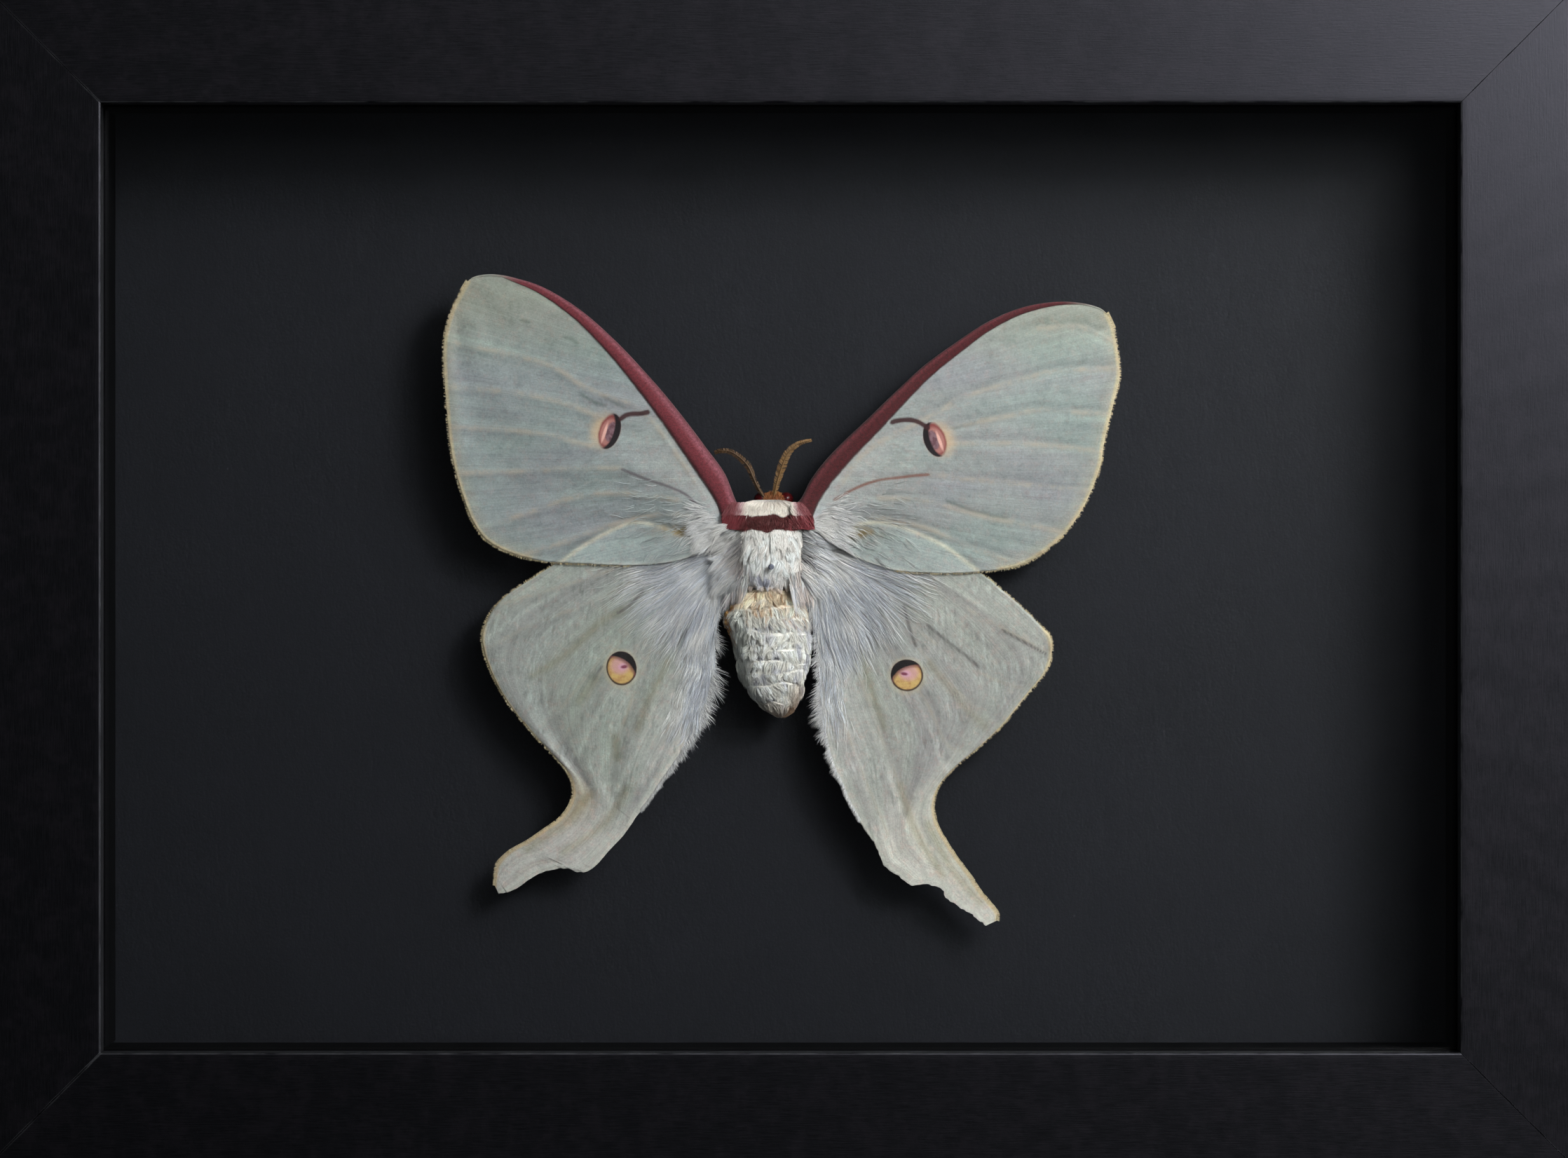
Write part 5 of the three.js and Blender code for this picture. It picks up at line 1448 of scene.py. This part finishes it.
def addForeSilk(label, wing):
    rng = np.random.default_rng(151 + wing["side"])
    skin = wing["skin"]
    count = silk["foreRoot"]
    root = np.array([wing["side"] * 4.0, 5.4])
    far = fromRoot(skin, root)
    share = np.linspace(0, 1, skin.shape[1])[None]
    weight = ((1 - smooth(2.4, 6.4, far)) * smooth(0.3, 0.5, share)
              + 0.03 * (1 - smooth(8, 16, far)) * smooth(0.4, 0.6, share))
    place, _ = pickOn(skin, weight, count, rng)
    away = place[:, :2] - root
    gap = np.linalg.norm(away, axis=1)
    way = unit(away / gap[:, None] + np.array([0, -0.25]))
    way = turned(way, 0.6 * noiseAt(place * [1, 1, 0], 0.5, 153) + rng.normal(0, 0.12, count))
    length = rng.uniform(1.2, 2.8, count)
    tips = lying(place, way, length, rng.uniform(0.02, 0.25, count))
    middles = lying(place, way, length * 0.5, rng.uniform(0.25, 0.55, count))
    middles, tips, lock = intoLocks(place, middles, tips, **silk["foreLocks"])
    tone = tint(silkTone(place, rng, 155), silk["white"], 0.6)
    tone = tint(tone, wing["field"], 0.9 * smooth(4, 10, gap))
    tone = tone * lockTones(rng, 0.85, 1.1, silk["foreLocks"], lock)
    addHair("forewing_silk_" + label, place, middles, tips, 0.07, tone,
            hairFinish("foreSilk_" + label, 0.5, 0.35), 15, 0.75)


def addTuft(label, side):  # long strands from the shoulder over the wing roots
    rng = np.random.default_rng(161 + side)
    count = silk["tuft"]
    z = rng.uniform(-1.6, 4.7, count)
    first = 3.2 if side < 0 else 4.1
    out = rng.uniform(first, 5.2, count) + 0.9 * smooth(1.5, 4.2, z) * rng.random(count)
    height = 8.2 - (out - 3.2) * 0.75 + rng.uniform(-0.5, 0.2, count)
    roots = np.c_[side * out + thorax["x"], z, height]
    sway = noiseAt(roots, 0.5, 163)
    reach = rng.uniform(2.2, 4.6, count)
    angle = 0.95 - 0.55 * (out - 3.2) / 2.5 + 0.45 * sway + rng.normal(0, 0.1, count)     # from straight out
    angle = np.clip(angle + 0.35 * (1 - smooth(-1.5, 2.0, z)), 0.2, 1.45)
    tips = lying(roots, np.c_[side * np.cos(angle), -np.sin(angle)], reach, np.zeros(count))
    tips[:, 2] = 6.0 + rng.uniform(0.0, 0.35, count) + 0.5 * smooth(2.0, 4.5, tips[:, 1])
    middles = (roots + tips) / 2 + np.array([side * 0.2, 0.25, 0.45])
    middles, tips, lock = intoLocks(roots, middles, tips, **silk["tuftLocks"])
    tone = silkTone(roots, rng, 165 + side) * lockTones(rng, 0.85, 1.3, silk["tuftLocks"], lock)
    tone = tint(tone, silk["white"], 0.3)
    tone = tint(tone, silk["pink"], 0.55 * (1 - smooth(3.6, 4.8, out)) * smooth(-0.5, 0.3, sway))
    # painted shade at the tuft's inner roots, in the crease against the thorax
    seamShade = bell(out - first - 0.1, 0.3) * smooth(0.4, 1.4, z)
    addHair("shoulder_tuft_" + label, roots, middles, tips, 0.085, tone * (1 - 0.65 * seamShade)[:, None],
            hairFinish("tuft_" + label, 0.55, 0.3), 16)


def addHangingTuft(label, side):  # from the rear of the thorax down beside the abdomen
    rng = np.random.default_rng(181 + side)
    count = silk["hanging"]
    out = rng.uniform(2.6, 5.0, count)
    z = rng.uniform(-2.4, 0.4, count)
    roots = np.c_[side * out + thorax["x"], z, 8.4 - (out - 2.6) * 0.85 + rng.uniform(-0.4, 0.2, count)]
    sway = noiseAt(roots, 0.7, 183)
    reach = rng.uniform(1.8, 4.4, count)
    angle = 1.36 + 0.3 * sway + rng.normal(0, 0.08, count)
    tips = lying(roots, np.c_[side * np.cos(angle), -np.sin(angle)], reach, np.zeros(count))
    flank = np.interp(-tips[:, 1], [2.8, 4.7, 7], [3.6, 4.6, 5.0])      # the abdomen that they lie on
    over = np.sqrt(np.clip(flank ** 2 - tips[:, 0] ** 2, 1.5, None))
    tips[:, 2] = thorax["height"] + thorax["flatness"] * over + rng.uniform(0, 0.3, count)
    middles = (roots + tips) / 2 + np.array([side * 0.1, 0.1, 0.5])
    middles, tips, lock = intoLocks(roots, middles, tips, **silk["hangingLocks"])
    warmth = silkTone(roots, rng, 185), silk["warm"], lockTones(rng, 0.1, 0.7, silk["hangingLocks"], lock)
    tone = np.minimum(tint(*warmth) * lockTones(rng, 0.8, 1.45, silk["hangingLocks"], lock), 1)
    addHair("hanging_tuft_" + label, roots, middles, tips, 0.07, tone,
            hairFinish("hanging_" + label, 0.55, 0.3), 33, 0.7)


def foreBorder(wing):
    return np.concatenate([wing["skin"][60:, -1], wing["skin"][-1, ::-1]])


for label, fore, hind in (("left", leftForewing, leftHindwing), ("right", rightForewing, rightHindwing)):
    hindFinish = hairFinish("hindSilk_" + label, 0.5, 0.35)
    hindDraws = np.random.default_rng(101 + hind["side"])
    addHindSilk(label, hind, hindFinish, hindDraws)
    addFringe(label, hind, hindFinish, hindDraws)
    addForeSilk(label, fore)
    addTuft(label, fore["side"])
    addHangingTuft(label, fore["side"])
    addEdging("forewing_edge_" + label, fore, foreBorder(fore))
    addEdging("hindwing_edge_" + label, hind, hind["skin"][50:, 0])
print("wing hair done")


# abdomen: cream scales in folds over grey rings

abdomen = {
    "spine": [(-0.2, -2.7), (0.0, -5), (0.25, -8), (0.2, -11), (0.2, -13.7), (0.7, -16.7), (1.1, -18.2),
              (1.2, -19.4)],
    "girth": [(-2.8, 3.6), (-4.7, 4.6), (-7, 5), (-10, 5.05), (-12.6, 4.85), (-14.5, 4.3), (-16.7, 3.4),
              (-18.2, 2.2), (-19, 1.3), (-19.4, 0.35)],
    "folds": [-4.9, -6.3, -8.0, -9.3, -10.6, -11.8, -13.0, -14.9, -17.3],
    "foldDepth": 0.55,
    "skinBelow": 0.6,       # mm from the hair tips down to the skin
    "strands": 17000,
    "hairLocks": {"locks": 520, "pull": 0.6, "bend": 0.1, "seeds": (10, 30)},
    "leftBulge": 1.5,       # mm, the side that the crumbs sit on
    "cream": paint(236, 231, 224),
    "tan": paint(232, 206, 170),
    "rust": paint(150, 96, 52),
    "grey": paint(184, 184, 198),
    "flank": paint(186, 192, 188),
    "tip": paint(140, 112, 92),
    "flake": paint(150, 138, 132),
    "speck": paint(232, 226, 214),
}


def onAbdomen(turn, z, lift=0.0):
    spine = curve(abdomen["spine"], 90)
    girth = curve(abdomen["girth"], 90)
    middle = np.interp(-z, -spine[:, 1], spine[:, 0])
    bulge = abdomen["leftBulge"] * bell(z + 6.8, 2.1) * smooth(0.35, 0.95, -np.sin(turn))
    radius = np.maximum(np.interp(-z, -girth[:, 0], girth[:, 1]) + lift + bulge, 0.03)
    return bodyPoints(middle, radius, turn, z)


def foldRelief(turn, z):
    drop = np.zeros_like(z)
    for k, fold in enumerate(abdomen["folds"]):
        line = fold + 0.32 * np.sin(turn * 1.4 + k * 1.9) + 0.14 * np.sin(turn * 5.1 + k * 2.7)
        deep = 0.45 + 0.55 * np.sin(turn * 2.3 + k * 4.1) ** 2 + 0.6 * (fold < -14)
        gap = z - line
        drop += deep * (bell(gap, 0.2) - 0.5 * bell(gap + 0.5, 0.42))
    return drop


def abdomenSurface(turn, z, drop):  # smooth surface and the height of the folded skin over it
    bare = onAbdomen(turn, z, -0.3)
    crinkle = noiseAt(bare * [0.4, 1.1, 0.4], 1.0, 55) + 0.3 * noiseAt(bare * [1.2, 2.4, 1.2], 1.0, 57)
    return bare, -abdomen["skinBelow"] - abdomen["foldDepth"] * drop + 0.34 * crinkle


def abdomenTone(points, turn, z, drop):
    near = noiseAt(points, 0.9, 51)
    fine = noiseAt(points, 2.4, 52)
    left, right = -np.sin(turn), np.sin(turn)
    dark = np.clip(drop, 0, 1)
    uneven = z + 2.4 * near
    end = 0.8 * smooth(0.35, 0.9, right) * (1 - smooth(-17.0, -13.0, z))
    end = end + 0.75 * (1 - smooth(-18.6, -16.6, z))
    tone = dyed(fill(abdomen["cream"], len(points)), [
        (abdomen["grey"], np.clip(0.75 * smooth(0.0, 0.5, near) + 0.55 * dark, 0, 1)),
        (abdomen["tan"], 0.8 * smooth(-6.8, -3.8, uneven + 1.5 * fine)),
        (abdomen["rust"], 0.7 * smooth(0.14, 0.4, fine) * smooth(-8.6, -5.2, uneven)),
        (abdomen["flank"], 0.7 * smooth(0.5, 0.8, left) * (1 - smooth(-5.2, -4.2, z))),
        (abdomen["rust"], smooth(0.86, 0.97, left) * smooth(-9.4, -8.2, z) * smooth(-0.1, 0.25, fine)),
        (abdomen["tip"], np.clip(end, 0, 1)),
    ])
    # painted shade in the folds: the deeper a point lies in a fold, the darker
    return tone * (1 - 0.62 * dark)[:, None] * (1 + 0.2 * fine)[:, None]


def abdomenSkin():
    m = Paper("abdomenScales", Roughness=0.7, Specular_IOR_Level=0.35, Sheen_Weight=0.2)
    flake = m.noise(m.place((1, 1, 1.6)), 1300.0, 5.0, 0.6, 0.3)
    speck = m.noise(m.place(), 4200.0, 2.0)
    colour = m.mix(m.fade(flake, 0.45, 0.75, 0.0, 0.35), m.colour("tint"), abdomen["flake"])
    colour = m.mix(m.fade(speck, 0.5, 0.75, 0.0, 0.4), colour, abdomen["speck"])
    m.bump(m.plus(flake, m.times(speck, 0.4)), 0.5, 0.0003)
    return m.base(colour)


def addAbdomen():
    rings, around = 190, 150
    turn = np.tile(aroundTurns(around), rings)
    z = np.repeat(np.linspace(-2.85, -19.38, rings), around)
    drop = foldRelief(turn, z)
    bare, surface = abdomenSurface(turn, z, drop)
    piece = makePiece("folded_abdomen", mothPoints(onAbdomen(turn, z, surface)), closedFaces(rings, around),
                      abdomenSkin(), ["abdomen"])
    addColours(piece, "tint", abdomenTone(bare, turn, z, drop))


def addAbdomenHair():
    rng = np.random.default_rng(61)
    count = abdomen["strands"]
    turn = aroundBody(rng, 1.25, count)
    z = rng.uniform(-18.8, -3.0, count)
    drop = foldRelief(turn, z)
    _, surface = abdomenSurface(turn, z, drop)
    roots = onAbdomen(turn, z, surface - 0.03)
    length = rng.uniform(0.5, 1.3, count) * (1 + 0.5 * smooth(0.6, 1.0, np.abs(np.sin(turn))))
    veer = 1.6 * noiseAt(roots, 0.5, 62)
    endZ = np.maximum(z - length, -19.35)
    endTurn = turn + veer * 0.16
    lift = np.minimum(surface + rng.uniform(0.12, 0.5, count), 0.1)
    tips = onAbdomen(endTurn, endZ, lift)
    middles = onAbdomen((turn + endTurn) / 2, (z + endZ) / 2, lift)
    middles, tips, lock = intoLocks(roots, middles, tips, **abdomen["hairLocks"])
    # the hair takes the abdomen's colours, the painted shade in the folds included
    tone = abdomenTone(roots, turn, z, drop * 0.8) * lockTones(rng, 0.74, 1.2, abdomen["hairLocks"], lock)
    addHair("abdomen_hair", roots, middles, tips, 0.06, np.minimum(tone * 1.24, 1),
            hairFinish("creamScaleHair"), 6, 0.75)


crumbs = {
    "places": [(-89, -4.7), (-89, -5.7), (-90, -6.6), (-91, -7.6), (-90, -8.5), (-79, -6.1), (-84, -3.9),
               (-80, -7.2), (-96, -7.1), (-77, -5.2), (-67, -6.7), (-71, -7.9), (-76, -4.4), (-86, -6.2),
               (-88, -7.0), (-82, -7.8), (-93, -6.2), (-74, -7.1), (-84, -8.3)],  # degrees round, z
    "size": 0.36,
    "tones": [(0.3, paint(104, 62, 30)), (0.5, paint(178, 132, 82)), (0.7, paint(214, 176, 122))],
}


def addCrumbs():
    m = Paper("rustCrumbs", Roughness=0.8)
    grain = m.noise(m.place(), 1800.0, 4.0)
    material = m.base(m.ramp(grain, crumbs["tones"]))
    m.bump(grain, 0.6, 0.0002)
    points, faces = [], []
    work = bmesh.new()
    bmesh.ops.create_icosphere(work, subdivisions=3, radius=1.0)
    ball = np.array([v.co[:] for v in work.verts])
    ballFaces = [tuple(v.index for v in f.verts) for f in work.faces]
    work.free()
    rng = np.random.default_rng(71)
    for turn, z in crumbs["places"]:
        place = onAbdomen(np.array([math.radians(turn)]), np.array([z]), -0.4)
        start = len(points) * len(ball)
        lump = ball * (1 + 0.45 * noiseAt(ball + rng.uniform(0, 50, 3), 1.3, 1))[:, None]
        points.append(lump * crumbs["size"] * rng.uniform(0.6, 1.1) * rng.uniform(0.7, 1.2, 3) + place)
        faces += [tuple(start + i for i in face) for face in ballFaces]
    makePiece("abdomen_crumbs", mothPoints(np.concatenate(points)), faces, material)


addAbdomen()
addAbdomenHair()
addCrumbs()
print("abdomen done")


# head, eyes, antennae and legs

head = {
    "centre": (0.3, 7.9, 4.5),     # x, z, height in mm
    "size": (2.0, 1.7, 1.7),
    "eyeRadius": 0.95,
    "eyeShift": (1.6, 0.75, -0.1),  # from the head's centre
    "strands": 3200,
    "hair": paint(160, 88, 42),
    "hairLight": paint(204, 140, 88),
    "skin": (paint(96, 50, 26), paint(150, 86, 46)),
    "eye": (paint(78, 14, 18), paint(40, 10, 14)),
}


def roundPoints(steps, around):  # unit ball in rings, poles along the second axis
    lat = np.linspace(0.02, math.pi - 0.02, steps)
    lon = np.linspace(0, 2 * math.pi, around, endpoint=False)
    la, lo = np.meshgrid(lat, lon, indexing="ij")
    ball = np.stack([np.sin(la) * np.cos(lo), np.cos(la), np.sin(la) * np.sin(lo)], -1).reshape(-1, 3)
    return ball, closedFaces(steps, around)


def addHead():
    ball, faces = roundPoints(48, 64)
    lump = 1 + 0.05 * noiseAt(ball, 2.2, 81)[:, None]
    centre, size = np.array(head["centre"]), np.array(head["size"])
    points = ball * lump * (size - 0.3) + centre
    m = Paper("headSkin", Roughness=0.75)
    nap = m.noise(m.place(), 2400.0, 4.0)
    m.bump(nap, 0.6, 0.0002)
    skin = m.base(m.mix(nap, *head["skin"]))
    makePiece("head_skin", mothPoints(points), faces, skin, ["head"])

    m = Paper("eyeShell", Roughness=0.22)
    facet = m.noise(m.place(), 5200.0, 2.0)
    m.bump(facet, 0.3, 0.00005)
    shell = m.base(m.mix(m.fade(facet, 0.35, 0.7, 0.0, 0.6), *head["eye"]))
    for side, label in ((-1, "left"), (1, "right")):
        points = ball * head["eyeRadius"] + (centre + np.array(head["eyeShift"]) * [side, 1, 1])
        makePiece("eye_" + label, mothPoints(points), faces, shell)

    rng = np.random.default_rng(83)
    count = head["strands"]
    way = unit(rng.normal(0, 1, (count, 3)))
    way = way[(np.abs(way[:, 0]) < 0.75) | (way[:, 1] < 0.1)]
    roots = centre + way * (size - 0.32)
    drift = np.array([0, 0.55, 0.35]) + rng.normal(0, 0.25, way.shape)
    tips = centre + way * size + drift * 0.28
    middles = (roots + tips) / 2 + way * 0.12
    tone = tint(fill(head["hair"], len(way)), head["hairLight"], rng.uniform(0, 0.8, len(way)))
    addHair("head_tuft", roots, middles, tips, 0.07, tone, hairFinish("tawnyHair"), 8)


antennae = {
    "left": {
        "path": [(-0.9, 8.9, 5.2), (-1.5, 9.8, 5.4), (-2.3, 11.4, 5.2), (-2.9, 12.8, 5), (-4, 14, 4.7),
                 (-5.3, 14.8, 4.4), (-6.5, 14.9, 4.2), (-7.2, 14.7, 4)],
        "halfWidth": [0.25, 0.52, 0.28],
        "tone": paint(92, 66, 42),
    },
    "right": {
        "path": [(0.2, 8.9, 5.4), (0.5, 9.8, 5.8), (0.9, 11.4, 6.3), (1.5, 13.2, 6.8), (2.3, 14.8, 7.1),
                 (3.6, 15.8, 7.3), (5.1, 16.2, 7.4)],
        "halfWidth": [0.25, 0.68, 0.2],
        "tone": paint(132, 98, 60),
    },
    "shaft": 0.13,
    "branches": 64,
}


def tubeAlong(path, radii, around=14):
    run = unit(np.gradient(path, axis=0))
    up = np.array([0, 0, 1.0])
    side = unit(np.cross(run, up))
    over = np.cross(side, run)
    turns = np.linspace(0, 2 * math.pi, around, endpoint=False)
    rings = (path[:, None] + radii[:, None, None] * (np.cos(turns)[None, :, None] * side[:, None]
                                                     + np.sin(turns)[None, :, None] * over[:, None]))
    return rings.reshape(-1, 3), closedFaces(len(path), around)


def addAntenna(side):
    feeler = antennae[side]
    t = np.linspace(0, 1, 70)
    path = splineAt(feeler["path"], t)
    points, faces = tubeAlong(path, antennae["shaft"] * (1.1 - 0.75 * t))
    finish = hairFinish("combBrown_" + side, 0.6, 0.1)
    shaft = makePiece("antenna_shaft_" + side, mothPoints(points), faces, finish,
                      ["antenna_" + side])
    addColours(shaft, "tint", np.tile(np.array(feeler["tone"]) * 0.75, (len(points), 1)))
    rng = np.random.default_rng(91)
    count = antennae["branches"]
    places = np.repeat(np.linspace(0.05, 0.99, count), 6)
    hand = np.tile([-1, 1, -1, 1, -1, 1], count)
    places = np.clip(places + rng.normal(0, 0.004, len(places)), 0.02, 1)
    start = splineAt(feeler["path"], places)
    ahead = unit(splineAt(feeler["path"], places + 0.02) - splineAt(feeler["path"], places - 0.02))
    out = np.cross(ahead, np.array([0, 0, 1.0])) * hand[:, None]
    reach = np.interp(places, [0, 0.45, 1], feeler["halfWidth"]) * rng.uniform(0.85, 1.04, len(places))
    tips = start + out * reach[:, None] + ahead * 0.45 * reach[:, None]
    tips[:, 2] -= 0.12
    middles = start + out * reach[:, None] * 0.6 + ahead * 0.1
    tone = np.array(feeler["tone"]) * rng.uniform(0.8, 1.2, (len(places), 1))
    addHair("antenna_comb_" + side, start, middles, tips, 0.13, tone, finish, 9, 0.85)


legs = {
    "sets": {"front": (5.4, 5.4, 1.4), "middle": (2.2, 6.4, -3.4), "hind": (-0.9, 6.2, -8.2)},
    "girth": (0.5, 0.42, 0.3, 0.2),
    "tones": (paint(122, 62, 52), paint(78, 38, 32)),
}


def addLeg(place, side):
    hipZ, kneeOut, toeZ = legs["sets"][place]
    sign = -1 if side == "left" else 1
    joints = [(sign * 2.4, hipZ, 2.5), (sign * kneeOut, hipZ + 1.2, 3),
              (sign * (kneeOut + 0.3), hipZ - 2, 1.7), (sign * (kneeOut + 0.9), toeZ, 0.9)]
    t = np.linspace(0, 1, 80)
    path = splineAt(joints, t)
    waist = 0.18 * bell(t * 3 - 1, 0.12)       # the two joints are narrower
    girth = np.interp(t * 3, range(4), legs["girth"]) * (1 - waist - 0.18 * bell(t * 3 - 2, 0.12))
    points, faces = tubeAlong(path, girth * 0.94, 20)
    points = points + 0.03 * noiseAt(points, 2.0, 95)[:, None]
    m = Paper("legShell_" + place + "_" + side, Roughness=0.5)
    mottle = m.noise(m.place(), 900.0, 4.0)
    m.bump(mottle, 0.4, 0.0001)
    shell = m.base(m.mix(m.fade(mottle, 0.35, 0.7), *legs["tones"]))
    makePiece("jointed_leg_" + place + "_" + side, mothPoints(points), faces, shell,
              ["leg_" + place + "_" + side])


addHead()
for side in ("left", "right"):
    addAntenna(side)
    for place in legs["sets"]:
        addLeg(place, side)
print("head, antennae and legs done")


# floor, lights and camera

studio = {
    "floor": (paint(214, 212, 208), paint(206, 204, 200)),
    "world": 0.012,
    # name, place from the middle of the opening, width in metres and power
    "lamps": [
        ("keyLamp", (0.29, backingY - 0.35, 0.25), 0.133, 2.0),
        ("softLamp", (0.185, backingY - 0.35, 0.148), 0.1, 0.3),
        ("backLamp", (0.5, 1.0, 0.7), 0.9, 12.0),
        ("sideLamp", (-1.0, 0.4, 0.5), 0.9, 8.0),
        ("farLamp", (1.1, 0.25, 0.3), 0.9, 8.0),
    ],
    "cameraDistance": 0.9,
    "photoWidth": 2237,
    "photoHeight": 1652,
    "openingPixels": 1940.0,      # width of the opening in the photograph
    "openingMiddle": (1113.5, 824.3),
}


def addFloor():
    rows = 40
    side = np.linspace(-1.6, 1.6, rows)
    grid = np.array([(x, y + 0.2, 0.00002 * math.sin(40 * x) * math.cos(36 * y)) for y in side for x in side])
    grid[:, 2] -= 0.0002
    m = Paper("paleFloor", Roughness=0.8, Specular_IOR_Level=0.2)
    cloud = m.noise(m.place(), 9.0, 3.0)
    material = m.base(m.mix(m.fade(cloud, 0.3, 0.7, 0.0, 0.5), *studio["floor"]))
    mesh = bpy.data.meshes.new("floor")
    mesh.from_pydata(grid.tolist(), [], gridFaces(rows, rows))
    mesh.materials.append(material)
    floor = bpy.data.objects.new("floor", mesh)
    scene.collection.objects.link(floor)
    floor.visible_glossy = False      # keeps the floor out of the pane's reflection
    floor.visible_transmission = False
    floor.visible_diffuse = False


def addLamp(name, place, aim, width, power):
    lamp = bpy.data.lights.new(name, "AREA")
    lamp.shape = "SQUARE"
    lamp.size = width
    lamp.energy = power
    holder = bpy.data.objects.new(name, lamp)
    holder.location = place
    holder.rotation_euler = (Vector(aim) - Vector(place)).to_track_quat("-Z", "Y").to_euler()
    scene.collection.objects.link(holder)


def addStudio():
    world = bpy.data.worlds.new("studio")
    world.use_nodes = True
    background = world.node_tree.nodes["Background"]
    background.inputs[0].default_value = (0.9, 0.95, 1.0, 1)
    background.inputs[1].default_value = studio["world"]
    scene.world = world
    for name, (x, y, z), width, power in studio["lamps"]:
        place = (midX + x, y, midZ + z)
        straight = y < frontY                 # the lamps in front shine straight back
        addLamp(name, place, (place[0], 0, place[2]) if straight else (midX, backY, midZ), width, power)


def addCamera():
    pixel = (openRight - openLeft) / studio["openingPixels"]
    offX = (studio["photoWidth"] / 2 - studio["openingMiddle"][0]) * pixel
    offZ = (studio["openingMiddle"][1] - studio["photoHeight"] / 2) * pixel
    lens = bpy.data.cameras.new("photoCamera")
    lens.sensor_width = 36.0
    lens.lens = lens.sensor_width * studio["cameraDistance"] / (studio["photoWidth"] * pixel)
    camera = bpy.data.objects.new("photoCamera", lens)
    camera.location = (midX + offX, frontY - studio["cameraDistance"], midZ + offZ)
    camera.rotation_euler = (math.pi / 2, 0, 0)
    scene.collection.objects.link(camera)
    scene.camera = camera


addFloor()
addStudio()
addCamera()
print("studio done")
